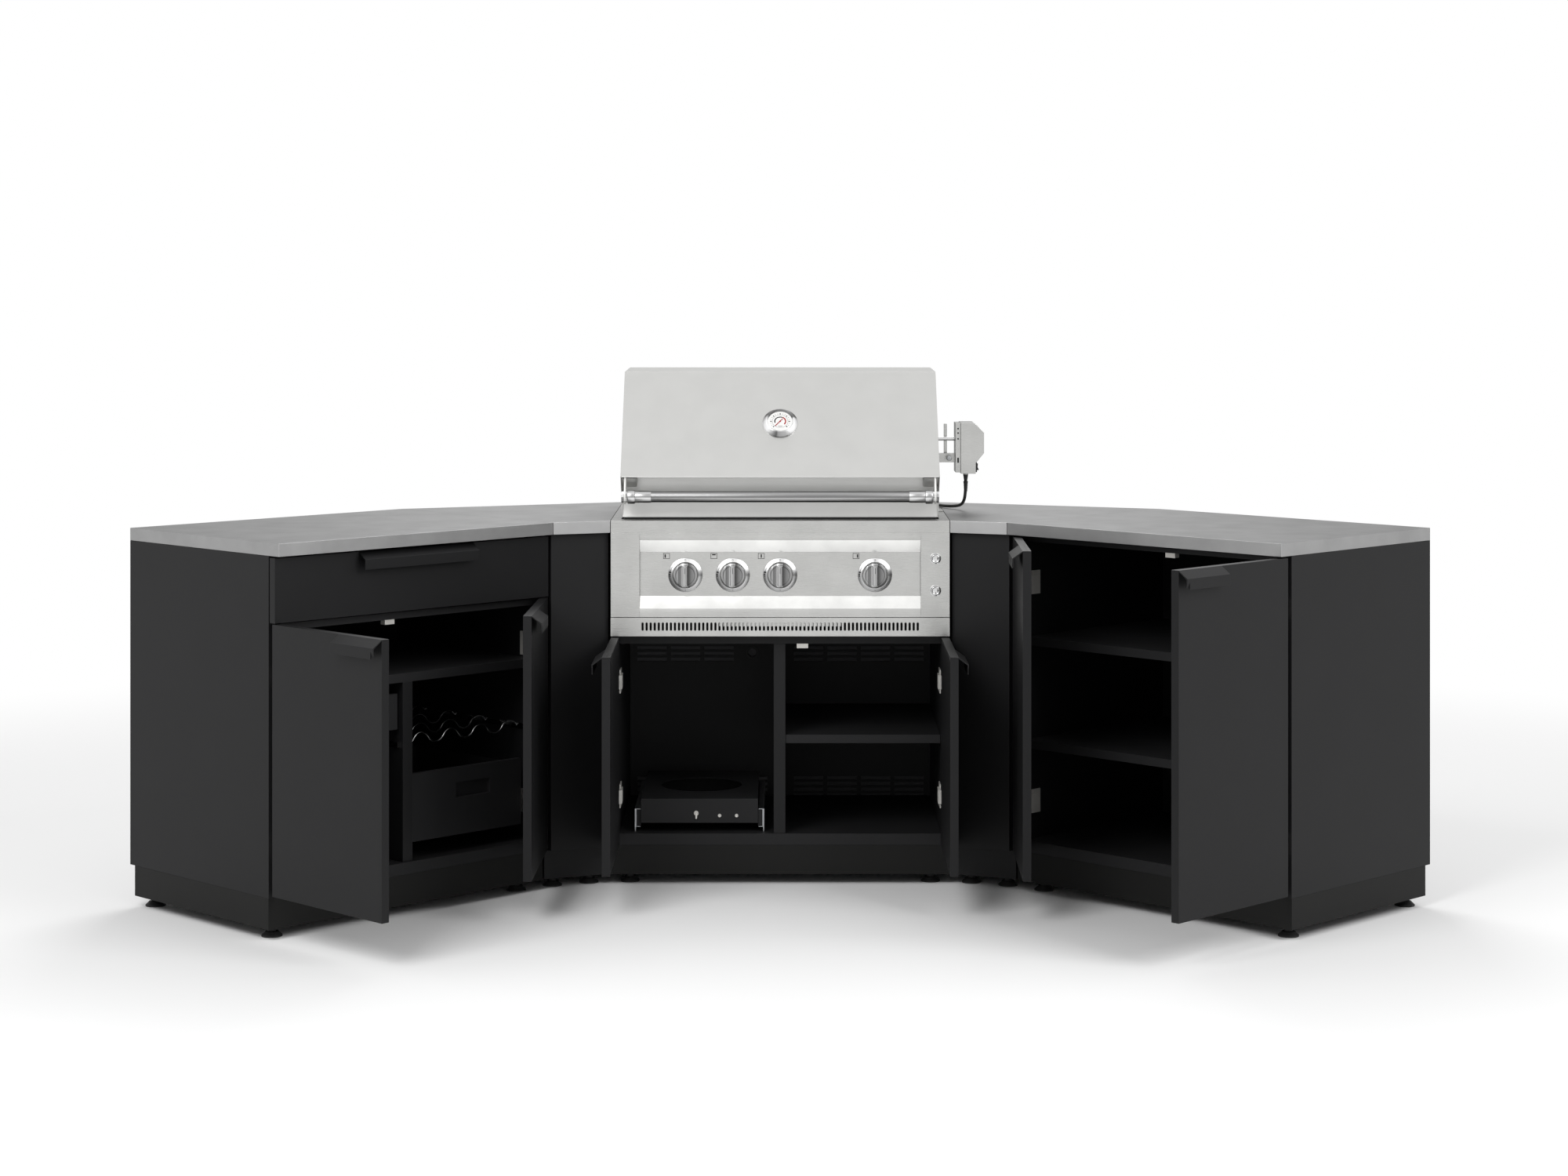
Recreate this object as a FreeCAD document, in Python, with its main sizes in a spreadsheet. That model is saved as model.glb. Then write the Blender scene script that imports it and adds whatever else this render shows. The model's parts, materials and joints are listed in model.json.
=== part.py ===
import FreeCAD, Part
import math
import os
import Sketcher
from FreeCAD import Placement, Rotation, Vector

# Outdoor kitchen island in millimetres: a gas grill cabinet, a 45 degree cabinet wing on each side
# and two wedge corner units between them. +Z is up, -Y is the cook's side, +X is the cook's right.

doc = FreeCAD.newDocument("OutdoorKitchen")

# Driving dimensions, one cell each; a text is a formula that ties its cell to others
SIZES = {
    # Worktop and plan
    "worktop_height": 902,
    "worktop_thick": 30,
    "worktop_sheet": 2,
    "cab_width": 813,
    "cab_depth": 602,
    "grill_width": 834,
    "corner_front": 147,
    "module_gap": 0.6,
    # Carcass
    "foot_height": 26,
    "foot_radius": 24,
    "foot_inset_side": 44,
    "foot_inset_front": 88,
    "foot_inset_back": 43,
    "plinth_top": 98,
    "plinth_inset": 40,
    "plinth_thick": 12,
    "floor_top": 126,
    "panel_thick": 20,
    "sheet": 1.5,
    "carcass_front": 39.5,
    "back_thick": 12,
    "shelf_thick": 21,
    "rail_height": 16,
    "rail_depth": 60,
    "fit_gap": 0.4,
    # Doors and drawer fronts
    "door_setback": 17,
    "door_thick": 20,
    "door_reveal": 1.5,
    "door_middle_gap": 6,
    "door_bottom": 104,
    "drawer_front_bottom": "=worktop_height - 181.5",
    "front_top": "=worktop_height - 34",
    "low_door_top": "=drawer_front_bottom - 2.5",
    "grill_door_top": "=worktop_height - 287",
    # Hinges
    "hinge_pivot_side": 4.5,
    "hinge_pivot_depth": 5,
    "hinge_inset": 115,
    "hinge_cup_width": 28,
    "hinge_cup_half": 24,
    "hinge_arm_half": 17,
    "hinge_pin_radius": 1.5,
    "hinge_eye_radius": 2.9,
    "hinge_strap": 2.6,
    # Edge pulls
    "pull_out": 24,
    "pull_drop": 17,
    "pull_lip": 24,
    "pull_sheet": 3,
    "pull_length": 154,
    "drawer_pull_length": 338,
    # Slides and drawers
    "slide_height": 45,
    "slide_width": 11,
    "slide_play": 0.5,
    "slide_length": "=cab_depth - 102",
    "drawer_wall": 12,
    "top_drawer_depth": "=cab_depth - 102",
    "top_drawer_low": "=worktop_height - 164",
    "top_drawer_high": "=worktop_height - 56",
    "left_divider": 388,
    "divider_thick": 29,
    "left_shelf_top": "=worktop_height - 332.5",
    "bin_front_low": 166,
    "bin_front_high": 327,
    "bin_front_set": 62,
    "bin_depth": "=cab_depth - 202",
    "bin_spacer": 26,
    "small_front_low": 437,
    "small_front_high": 521,
    "small_depth": "=cab_depth - 182",
    "upper_shelf_top": "=worktop_height - 280",
    "lower_shelf_top": "=worktop_height - 531",
    "grill_divider": "=grill_width / 2 - 16",
    "grill_shelf_top": "=worktop_height - 533",
    "tray_top": 208,
    "tray_flange_low": 148,
    "tray_width": 290,
    "tray_left": 72,
    "tray_depth": "=cab_depth - 182",
    "tray_hole_radius": 103,
    # Bottle rack
    "rack_height": 400,
    "rack_wire": 3,
    "rack_wave": 26,
    "rack_pitch": 100,
    # Vents, grommet
    "vent_length": 78,
    "vent_height": 9,
    "vent_row_pitch": 15,
    "vent_column_pitch": 88.7,
    "grommet_outer": 17,
    "grommet_inner": 11,
    # Grill deck and fascia
    "deck_front": 50,
    "deck_side": 24,
    "deck_back": "=cab_depth - 92",
    "firebox_wall": 2,
    "firebox_top": "=worktop_height + 38",
    "firebox_bottom": "=worktop_height - 212",
    "firebox_half": "=grill_width / 2 - 29",
    "fascia_low": "=worktop_height - 237",
    "stile_width": 71,
    "panel_recess": 12,
    "vent_strip_low": "=worktop_height - 284",
    "louvre_count": 69,
    "louvre_pitch": 9.94,
    "louvre_width": 5.6,
    "louvre_low": "=vent_strip_low + 13.5",
    "louvre_high": "=vent_strip_low + 34",
    "knob_height": "=(fascia_low + worktop_height - worktop_thick) / 2 - 1",
    "knob_pitch": 116.6,
    "knob_radius": 30,
    "bezel_radius": 42,
    "knob_depth": 32,
    "stem_radius": 4,
    "button_radius": 10.5,
    "button_side": "=grill_width / 2 - 35.5",
    "button_upper": "=knob_height + 41.5",
    "button_lower": "=knob_height - 37.5",
    # Hood
    "hood_half": "=grill_width / 2 - 23",
    "hood_sheet": 2.5,
    "hood_bottom": "=worktop_height + 6",
    "hood_lip_y": 28,
    "hood_lip_z": "=worktop_height + 106",
    "hood_top_y": 244,
    "hood_top_z": "=worktop_height + 358",
    "hood_back_y": "=cab_depth - 57",
    "pivot_y": "=cab_depth - 112",
    "pivot_z": "=worktop_height + 43",
    "pivot_radius": 5,
    "handle_radius": 15,
    "handle_y": 22,
    "handle_z": "=worktop_height + 57",
    "collar_radius": 17.5,
    "collar_width": 19,
    "handle_bracket": 18,
    "gauge_radius": 44,
    # Rotisserie
    "spit_radius": 5.5,
    "spit_y": 300,
    "spit_z": "=worktop_height + 185",
    "spit_end": "=motor_left + 11",
    "motor_left": "=grill_width / 2 + 42",
    "motor_depth": 90,
    "cord_radius": 4,
    # Grill inside
    "burner_radius": 20,
    "burner_z": "=worktop_height - 102",
    "grate_z": "=worktop_height - 22",
    "grate_bar": 8,
}

sheet = doc.addObject("Spreadsheet::Sheet", "Sizes")
for row, (word, value) in enumerate(SIZES.items(), start=1):
    sheet.set(f"A{row}", word)
    sheet.set(f"B{row}", str(value))
    sheet.setAlias(f"B{row}", word)
doc.recompute()


class Size:
    """A length that keeps the sheet formula it was worked out from."""

    def __init__(self, value, formula):
        self.value = value
        self.formula = formula

    def __add__(self, other):
        return Size(self.value + number(other), f"({self.formula} + {formula(other)})")

    def __radd__(self, other):
        return Size(number(other) + self.value, f"({formula(other)} + {self.formula})")

    def __sub__(self, other):
        return Size(self.value - number(other), f"({self.formula} - {formula(other)})")

    def __rsub__(self, other):
        return Size(number(other) - self.value, f"({formula(other)} - {self.formula})")

    def __mul__(self, other):
        return Size(self.value * number(other), f"({self.formula} * {formula(other)})")

    def __rmul__(self, other):
        return self * other

    def __truediv__(self, other):
        return Size(self.value / number(other), f"({self.formula} / {formula(other)})")

    def __neg__(self):
        return Size(-self.value, f"(0 - {self.formula})")


def number(amount):
    return amount.value if isinstance(amount, Size) else float(amount)


def formula(amount):
    return amount.formula if isinstance(amount, Size) else repr(float(amount))


class SheetSizes:
    """Gives each cell of the sheet as a Size under its own name."""

    def __getattr__(self, word):
        return Size(float(sheet.get(word)), f"Sizes.{word}")


sz = SheetSizes()


def bind(thing, prop, amount):
    """Tie a property to the sheet, or set it where it is a plain number."""
    thing.setExpression(prop, formula(amount))


def move_to(thing, x, y, z):
    for axis, amount in zip("xyz", (x, y, z)):
        bind(thing, f"Placement.Base.{axis}", amount)


# Solids

def block(x0, x1, y0, y1, z0, z1):
    """A box between two corners."""
    box = doc.addObject("Part::Box", "Block")
    bind(box, "Length", x1 - x0)
    bind(box, "Width", y1 - y0)
    bind(box, "Height", z1 - z0)
    move_to(box, x0, y0, z0)
    return box


TURNS = {
    "x": Rotation(Vector(0, 1, 0), 90),
    "y": Rotation(Vector(1, 0, 0), -90),
    "z": Rotation(),
}


def rod(axis, radius, x, y, z, length):
    """A cylinder that starts at x, y, z and runs along +axis."""
    cylinder = doc.addObject("Part::Cylinder", "Rod")
    bind(cylinder, "Radius", radius)
    bind(cylinder, "Height", length)
    cylinder.Placement = Placement(Vector(), TURNS[axis])
    move_to(cylinder, x, y, z)
    return cylinder


def group(*things):
    """Separate solids kept in one piece of the model."""
    compound = doc.addObject("Part::Compound", "Group")
    compound.Links = list(things)
    return compound


def fuse(*things):
    if len(things) == 1:
        return things[0]
    joined = doc.addObject("Part::MultiFuse", "Joined")
    joined.Shapes = list(things)
    joined.Refine = True
    return joined


def cut(base, *tools):
    """The base with the tools taken out. The tools stand clear of each other."""
    cutter = doc.addObject("Part::Cut", "Cut")
    cutter.Base = base
    cutter.Tool = tools[0] if len(tools) == 1 else group(*tools)
    cutter.Refine = True
    return cutter


def mirrored(thing):
    """The same piece on the other side of the middle plane."""
    twin = doc.addObject("Part::Mirroring", "Mirrored")
    twin.Source = thing
    twin.Base = Vector(0, 0, 0)
    twin.Normal = Vector(1, 0, 0)
    return twin


def add_outline(sketch, points):
    """Straight lines round the points; a point given with a third value bulges by that sagitta."""
    corners = [(number(p[0]), number(p[1])) for p in points]
    count = len(corners)
    for i, (u, v) in enumerate(corners):
        other = corners[(i + 1) % count]
        start = Vector(u, v, 0)
        end = Vector(other[0], other[1], 0)
        bulge = number(points[i][2]) if len(points[i]) > 2 else 0
        if bulge:
            along = (end - start).normalize()
            middle = (start + end) * 0.5 + Vector(along.y, -along.x, 0) * bulge
            arc = Part.Arc(start, middle, end)
            sketch.addGeometry(arc, False)
        else:
            sketch.addGeometry(Part.LineSegment(start, end), False)


def new_sketch(body, plane, points):
    sketch = body.newObject("Sketcher::SketchObject", "Outline")
    origin = [f for f in body.Origin.OriginFeatures if f.Role == plane][0]
    sketch.AttachmentSupport = [(origin, "")]
    sketch.MapMode = "FlatFace"
    add_outline(sketch, points)
    return sketch


def prism(plane, points, length, x=0, y=0, z=0):
    """An outline on one origin plane, padded to a length. The XZ plane pads towards -Y."""
    body = doc.addObject("PartDesign::Body", "Prism")
    sketch = new_sketch(body, plane + "_Plane", points)
    pad = body.newObject("PartDesign::Pad", "Pad")
    pad.Profile = sketch
    bind(pad, "Length", length)
    body.Tip = pad
    move_to(body, x, y, z)
    return body


def turned(points, axis="z", x=0, y=0, z=0):
    """A profile of radius and height, turned about its own Z, then laid along an axis."""
    body = doc.addObject("PartDesign::Body", "Turned")
    sketch = new_sketch(body, "XZ_Plane", points)
    spin = body.newObject("PartDesign::Revolution", "Revolution")
    spin.Profile = sketch
    spin.ReferenceAxis = (sketch, ["V_Axis"])
    spin.Angle = 360
    body.Tip = spin
    body.Placement = Placement(Vector(), TURNS.get(axis) or FRONT)
    move_to(body, x, y, z)
    return body


FRONT = Rotation(Vector(1, 0, 0), 90)  # turns a piece's own Z to -Y, towards the cook

nodes = {}


def node(name, thing):
    """Name a finished piece."""
    thing.Label = name
    nodes[name] = thing
    return thing


# Plan: module frames
# In a module's own frame X runs along its front from the left and Y runs inwards from the worktop's front edge.

WING_TURN = 45
CORNER_TURN = 22.5


def step(start, turn, length):
    """The point at a length from start, along a line turned from +X."""
    angle = math.radians(turn)
    return Vector(start.x + length * math.cos(angle), start.y + length * math.sin(angle), 0)


width = number(sz.cab_width)
depth = number(sz.cab_depth)
grill_left = Vector(-number(sz.grill_width) / 2, 0, 0)
corner_left = step(grill_left, CORNER_TURN, -number(sz.corner_front))
wing_left = step(corner_left, WING_TURN, -width)
WING = Placement(wing_left, Rotation(Vector(0, 0, 1), WING_TURN))
CORNER = Placement(corner_left, Rotation(Vector(0, 0, 1), CORNER_TURN))
GRILL = Placement(grill_left, Rotation())


def placed(thing, frame):
    thing.Placement = frame
    return thing


def both_wings(pieces):
    """A set of pieces on the left wing, and its twin on the right wing."""
    left = placed(group(*pieces), WING)
    return left, mirrored(left)


def cased(x0, x1, y0, y1, z0, z1, face):
    """A sheet metal panel: a shallow tray open on one face, closed by a liner inside its rim."""
    t = sz.sheet
    inner = {
        "x+": (x0 + t, x1 + 1, y0 + t, y1 - t, z0 + t, z1 - t),
        "x-": (x0 - 1, x1 - t, y0 + t, y1 - t, z0 + t, z1 - t),
        "y+": (x0 + t, x1 - t, y0 + t, y1 + 1, z0 + t, z1 - t),
        "y-": (x0 + t, x1 - t, y0 - 1, y1 - t, z0 + t, z1 - t),
        "z-": (x0 + t, x1 - t, y0 + t, y1 - t, z0 - 1, z1 - t),
    }[face]
    liner = {
        "x+": (x1 - t, x1, y0 + t, y1 - t, z0 + t, z1 - t),
        "x-": (x0, x0 + t, y0 + t, y1 - t, z0 + t, z1 - t),
        "y+": (x0 + t, x1 - t, y1 - t, y1, z0 + t, z1 - t),
        "y-": (x0 + t, x1 - t, y0, y0 + t, z0 + t, z1 - t),
    }.get(face)
    tray = cut(block(x0, x1, y0, y1, z0, z1), block(*inner))
    return [tray, block(*liner)] if liner else [tray]


# Carcasses of the two wings

cab = sz.cab_width
gap = sz.module_gap
under_top = sz.worktop_height - sz.worktop_thick
back_y = sz.cab_depth - sz.back_thick
inside_left = sz.panel_thick
inside_right = cab - sz.panel_thick


def side_panels(wide):
    front = sz.carcass_front
    left = cased(gap, sz.panel_thick, front, sz.cab_depth, sz.plinth_top, under_top, "x+")
    right = cased(wide - sz.panel_thick, wide - gap, front, sz.cab_depth, sz.plinth_top, under_top, "x-")
    return left + right


def floor_panel(wide):
    return cased(sz.panel_thick, wide - sz.panel_thick, sz.carcass_front, back_y,
                 sz.plinth_top, sz.floor_top, "z-")


def shelf(x0, x1, top):
    return cased(x0, x1, sz.carcass_front + 8, back_y, top - sz.shelf_thick, top, "z-")


def back_panel(wide):
    return cased(sz.panel_thick, wide - sz.panel_thick, back_y, sz.cab_depth,
                 sz.plinth_top, under_top, "y-")


def top_rail(wide, y0, high):
    """A folded rail between the side panels."""
    return cased(sz.panel_thick, wide - sz.panel_thick, y0, y0 + sz.rail_depth, high - sz.rail_height, high, "z-")


def plinth(wide):
    """Kick boards on the front and both sides of a module, fused at their corners."""
    y0 = sz.plinth_inset
    y1 = sz.cab_depth - 20
    t = sz.plinth_thick
    low = sz.foot_height
    return fuse(
        block(gap, wide - gap, y0, y0 + t, low, sz.plinth_top),
        block(gap, gap + t, y0, y1, low, sz.plinth_top),
        block(wide - gap - t, wide - gap, y0, y1, low, sz.plinth_top),
        block(gap, wide - gap, y1 - t, y1, low, sz.plinth_top),
    )


FOOT_TOP = 12


def foot(x, y, stem_top=60):
    """A round pad that necks up to a threaded stem."""
    r = sz.foot_radius
    top = sz.foot_height
    profile = [(0, 0), (r, 0), (r, 3), (r * 0.72, 9, 1.5), (10, FOOT_TOP, 1), (10, top), (6, top), (6, stem_top), (0, stem_top)]
    return turned(profile, "z", x, y, 0)


def four_feet(wide):
    side = sz.foot_inset_side
    front = sz.foot_inset_front
    back = sz.cab_depth - sz.foot_inset_back
    return [foot(side, front), foot(wide - side, front), foot(side, back), foot(wide - side, back)]


def foot_brackets(wide):
    """The threaded angle that carries each foot, under the floor panel and against the kick board."""
    side = sz.foot_inset_side
    front = sz.foot_inset_front
    back = sz.cab_depth - sz.foot_inset_back
    pieces = []
    for x, x_out in ((side, gap + sz.plinth_thick), (wide - side, wide - gap - sz.plinth_thick)):
        for y in (front, back):
            x0, x1 = (x_out, x + 22) if x is side else (x - 22, x_out)
            plate = block(x0, x1, y - 22, min_size(y + 22, sz.cab_depth - 20 - sz.plinth_thick), 60, 64)
            post = block(x0, x0 + 3, y - 18, y + 8, 64, sz.plinth_top) if x is side else block(
                x1 - 3, x1, y - 18, y + 8, 64, sz.plinth_top)
            pieces.append(fuse(plate, post))
    return pieces


def min_size(a, b):
    return a if number(a) < number(b) else b


def worktop(x0, x1, y1):
    """A folded sheet top: a flat sheet with its edges turned down."""
    return cut(
        block(x0, x1, 0, y1, under_top, sz.worktop_height),
        block(x0 + sz.worktop_sheet, x1 - sz.worktop_sheet, sz.worktop_sheet, y1 - sz.worktop_sheet,
              under_top - 1, sz.worktop_height - sz.worktop_sheet),
    )


wing_sides = both_wings(side_panels(cab))
grill_sides = placed(group(*side_panels(sz.grill_width)), GRILL)
node("side_panels", group(*wing_sides, grill_sides))

left_top = placed(group(worktop(gap / 2, cab - gap / 2, sz.cab_depth)), WING)
node("left_worktop", left_top)
node("right_worktop", mirrored(left_top))

# Drawer rail of the left wing and top rails of the right wing and the grill unit
left_rails = placed(group(
    *top_rail(cab, sz.carcass_front + 2, sz.low_door_top - 2),
    *top_rail(cab, back_y - sz.rail_depth, under_top),
), WING)
right_rails = placed(group(
    *top_rail(cab, sz.carcass_front, under_top),
    *top_rail(cab, back_y - sz.rail_depth, under_top),
), WING)
grill_rail = placed(group(
    *cased(sz.panel_thick, sz.grill_width - sz.panel_thick, sz.carcass_front, sz.carcass_front + 40,
           sz.grill_door_top - 20, sz.grill_door_top - 2, "z-"),
), GRILL)
node("top_rails", group(left_rails, mirrored(right_rails), grill_rail))

wing_floor, wing_floor_twin = both_wings(floor_panel(cab))
node("floor_panels", group(wing_floor, wing_floor_twin, placed(group(*floor_panel(sz.grill_width)), GRILL)))

wing_plinth, wing_plinth_twin = both_wings([plinth(cab)])
grill_plinth = placed(group(plinth(sz.grill_width)), GRILL)
wing_brackets, wing_brackets_twin = both_wings(foot_brackets(cab))
grill_brackets = placed(group(*foot_brackets(sz.grill_width)), GRILL)
node("plinths", group(wing_plinth, wing_plinth_twin, grill_plinth))

# Back panels; the grill unit's has vent slots and a hole for the gas hose
grill_x = sz.grill_width
hose_x = grill_x / 2 - 74
hose_z = 504


VENT_FIELDS = [(38.7, 137, 4, 3), (453.3, 122, 4, 4), (38.7, 481, 3, 3), (453.3, 481, 4, 3)]
VENT_STAGGER = 8


def vent_slots(rise):
    """Slots in four fields: the outer sheet's stand higher than the liner's, so no view goes through both."""
    made = []
    for x0, z0, columns, rows in VENT_FIELDS:
        for column in range(columns):
            for row in range(rows):
                x = x0 + sz.vent_column_pitch * column
                z = z0 + rise + sz.vent_row_pitch * row
                made.append(block(x, x + sz.vent_length, back_y - 5, sz.cab_depth + 5, z, z + sz.vent_height))
    return made


hose_hole = rod("y", sz.grommet_inner + 4, hose_x, back_y - 5, hose_z, sz.back_thick + 10)
grill_tray, grill_liner = back_panel(grill_x)
grill_back = group(
    cut(grill_tray, *vent_slots(VENT_STAGGER), hose_hole),
    cut(grill_liner, *vent_slots(0), hose_hole),
)
wing_back, wing_back_twin = both_wings(back_panel(cab))
node("back_panels", group(wing_back, wing_back_twin, placed(grill_back, GRILL)))

grommet_profile = [
    (sz.grommet_inner, 0), (sz.grommet_outer, 0), (sz.grommet_outer, 4), (sz.grommet_inner + 3.6, 4),
    (sz.grommet_inner + 3.6, 4 + sz.back_thick), (sz.grommet_outer, 4 + sz.back_thick),
    (sz.grommet_outer, 8 + sz.back_thick), (sz.grommet_inner, 8 + sz.back_thick),
]
grommet = turned(grommet_profile, "y", hose_x, back_y - 4, hose_z)
node("hose_grommet", placed(group(grommet), GRILL))

# Wedge corner units. Their sides lie along the wing's and the grill unit's sides.
c_front = sz.corner_front
corner_len = number(c_front)
half_turn = math.radians(CORNER_TURN)


def wedge_points(inset_front, inset_side, inset_back):
    """The wedge's plan, drawn in by a distance along its front, its two sides and its back."""
    def side_x(y):
        return -y * math.tan(half_turn)
    f = number(inset_front)
    edge = number(inset_side) / math.cos(half_turn)
    back = depth * math.cos(half_turn) - number(inset_back)
    left_front = (side_x(f) + edge, f)
    left_back = (side_x(back) + edge, back)
    return [left_front, (corner_len - left_front[0], f), (corner_len - left_back[0], back), left_back]


def wedge(inset_front, inset_side, inset_back, z0, z1):
    return prism("XY", wedge_points(inset_front, inset_side, inset_back), z1 - z0, 0, 0, z0)


corner_sheet = sz.worktop_sheet
corner_top = placed(group(cut(
    wedge(0, gap / 2, 0, under_top, sz.worktop_height),
    wedge(corner_sheet, gap / 2 + corner_sheet, corner_sheet, under_top - 1,
          sz.worktop_height - corner_sheet),
)), CORNER)
node("left_corner_worktop", corner_top)
node("right_corner_worktop", mirrored(corner_top))

CORNER_PANEL_INSET = 6
corner_shell = cut(
    wedge(sz.door_setback, CORNER_PANEL_INSET, 6, sz.plinth_top, sz.worktop_height - corner_sheet),
    wedge(sz.door_setback + 3, CORNER_PANEL_INSET + 3, 9, sz.plinth_top + 3, sz.worktop_height),
)
corner_kick = cut(
    wedge(sz.plinth_inset, CORNER_PANEL_INSET, 26, sz.foot_height, sz.plinth_top),
    wedge(sz.plinth_inset + sz.plinth_thick, CORNER_PANEL_INSET + sz.plinth_thick, 26 + sz.plinth_thick,
          sz.foot_height - 1, sz.plinth_top + 1),
)
corner_case = placed(group(corner_shell, corner_kick), CORNER)
node("corner_panels", group(corner_case, mirrored(corner_case)))

corner_feet = placed(group(
    *[foot(x, y, sz.plinth_top) for x, y in (
        (26, sz.foot_inset_front), (c_front - 26, sz.foot_inset_front), (-110, 500), (c_front + 110, 500))],
), CORNER)
wing_feet, wing_feet_twin = both_wings(four_feet(cab))
node("levelling_feet", group(
    wing_feet, wing_feet_twin, corner_feet, mirrored(corner_feet),
    placed(group(*four_feet(grill_x)), GRILL), wing_brackets, wing_brackets_twin, grill_brackets,
))


# Inside the wings: shelves, dividers, bottle rack

upper = shelf(inside_left + 1, inside_right - 1, sz.upper_shelf_top)
lower = shelf(inside_left + 1, inside_right - 1, sz.lower_shelf_top)
right_shelves = mirrored(placed(group(*upper, *lower), WING))

left_shelf = shelf(inside_left + 1, inside_right - 1, sz.left_shelf_top)
divider_x = sz.left_divider
shelf_under = sz.left_shelf_top - sz.shelf_thick
left_divider = cased(divider_x, divider_x + sz.divider_thick, sz.carcass_front + 8, back_y,
                     sz.floor_top, shelf_under, "x+")
grill_divider_x = sz.grill_divider
grill_divider = cased(grill_divider_x, grill_divider_x + sz.divider_thick, sz.carcass_front + 3, back_y,
                      sz.floor_top, sz.grill_door_top - 20, "x+")
node("dividers", group(placed(group(*left_divider), WING), placed(group(*grill_divider), GRILL)))
grill_shelf = placed(group(*shelf(
    grill_divider_x + sz.divider_thick, grill_x - sz.panel_thick - 1, sz.grill_shelf_top)), GRILL)
node("shelves", group(placed(group(*left_shelf), WING), right_shelves, grill_shelf))


def clip(x0, x1, y, z):
    """A small angle that a shelf end rests on."""
    return block(x0, x1, y - 8, y + 8, z - 3, z)


def shelf_clips(x0, x1, top):
    z = top - sz.shelf_thick
    return [clip(x0, x0 + 9, y, z) for y in (110, 530)] + [clip(x1 - 9, x1, y, z) for y in (110, 530)]


left_clips = placed(group(*shelf_clips(inside_left, inside_right, sz.left_shelf_top)), WING)
right_clips = mirrored(placed(group(
    *shelf_clips(inside_left, inside_right, sz.upper_shelf_top),
    *shelf_clips(inside_left, inside_right, sz.lower_shelf_top)), WING))
grill_clips = placed(group(*shelf_clips(
    grill_divider_x + sz.divider_thick, grill_x - sz.panel_thick, sz.grill_shelf_top)), GRILL)


def wave_wire(x0, x1, y, z):
    """A wavy wire of half-turn arcs that cradle the bottles, as one swept rod."""
    count = max(1, round((number(x1) - number(x0)) / number(sz.rack_pitch)) * 2)
    stride = (number(x1) - number(x0)) / count
    rise = number(sz.rack_wave) / 2
    edges = []
    for i in range(count):
        start = Vector(number(x0) + stride * i, y, z)
        end = Vector(number(x0) + stride * (i + 1), y, z)
        middle = (start + end) * 0.5 + Vector(0, 0, rise if i % 2 else -rise)
        edges.append(Part.Arc(start, middle, end).toShape())
    path = Part.Wire(edges)
    tangent = edges[0].tangentAt(edges[0].FirstParameter)
    circle = Part.Wire(Part.makeCircle(number(sz.rack_wire), Vector(number(x0), y, z), tangent))
    wire = doc.addObject("Part::Feature", "WaveWire")
    wire.Shape = path.makePipeShell([circle], True, True, 1)
    return wire


def bottle_rack(x0, x1):
    rows = [wave_wire(x0 + 6, x1 - 6, y, number(sz.rack_height)) for y in (110, 230, 350, 470, 560)]
    rails = [block(x, x + 6, 60, 572, sz.rack_height - 6, sz.rack_height + 6) for x in (x0, x1 - 6)]
    return rows + rails


node("bottle_rack", placed(group(
    *bottle_rack(sz.left_divider + sz.divider_thick, inside_right),
    *bottle_rack(inside_left, sz.left_divider)), WING))

# Doors. A door is drawn closed, hinged on its left edge, in a frame whose origin is the pivot.

pivot_in = sz.hinge_pivot_side
pivot_back = sz.hinge_pivot_depth
PULL_END_CUT = 9


def edge_pull(x0, x1, front, top, x_cut):
    """A bent sheet pull: a leaf on the top edge, a sloping flange and a lip that hangs in front."""
    t = sz.pull_sheet
    out = sz.pull_out
    drop = sz.pull_drop
    leaf = 12
    f = number(front)
    z = number(top)
    tn = number(t)
    o = number(out)
    d = number(drop)
    lip = number(sz.pull_lip)
    section = [
        (f + leaf, z), (f + leaf, z - tn), (f, z - tn), (f - o + tn, z - d - tn * 0.6),
        (f - o + tn, z - d - lip), (f - o, z - d - lip), (f - o, z - d), (f, z),
    ]
    bar = prism("YZ", section, x1 - x0, x0)
    if x_cut is None:
        return bar
    corner = [(f - o - 1, z - d - lip - 1), (f - o + tn + 1, z - d - lip - 1), (f - o - 1, z - d - 2)]
    return cut(bar, prism("YZ", corner, PULL_END_CUT, x_cut))


def door(wide, high, inset_low):
    """Pan, liner, edge pull at the free end and two hinge cups with pins, hinged at the left."""
    x0 = -pivot_in
    x1 = wide - pivot_in
    y0 = -pivot_back
    y1 = sz.door_thick - pivot_back
    t = sz.sheet
    half = sz.hinge_cup_half
    cup_x1 = x0 + sz.hinge_cup_width
    levels = (inset_low, high - sz.hinge_inset)
    seat = [block(x0 - 1, cup_x1, y0 + t, y1 + 1, z - half, z + half) for z in levels]
    leaf_seat = block(x1 - sz.pull_length, x1, y0 - 1, y0 + 12, high - sz.pull_sheet, high + 1)
    pan = cut(block(x0, x1, y0, y1, 0, high),
              fuse(block(x0 + t, x1 - t, y0 + t, y1 + 1, t, high - sz.pull_sheet - t), *seat), leaf_seat)
    liner = cut(block(x0 + t, x1 - t, y1 - t, y1, t, high - sz.pull_sheet - t), *[
        block(x0 - 1, cup_x1, y0 + t, y1 + 1, z - half, z + half) for z in levels])
    pull = edge_pull(x1 - sz.pull_length, x1, y0, high, x1 - PULL_END_CUT)
    cups = []
    for z in levels:
        shell = cut(
            block(x0, cup_x1, y0 + t, y1, z - half, z + half),
            block(x0 - 1, cup_x1 - 2, y0 + t + 0.5, y1 + 1, z - half + 3, z + half - 3),
        )
        pin = rod("z", sz.hinge_pin_radius, 0, 0, z - half + 1, 2 * half - 2)
        cups.append(fuse(shell, pin))
    return [pan, liner, pull, *cups]


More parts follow.
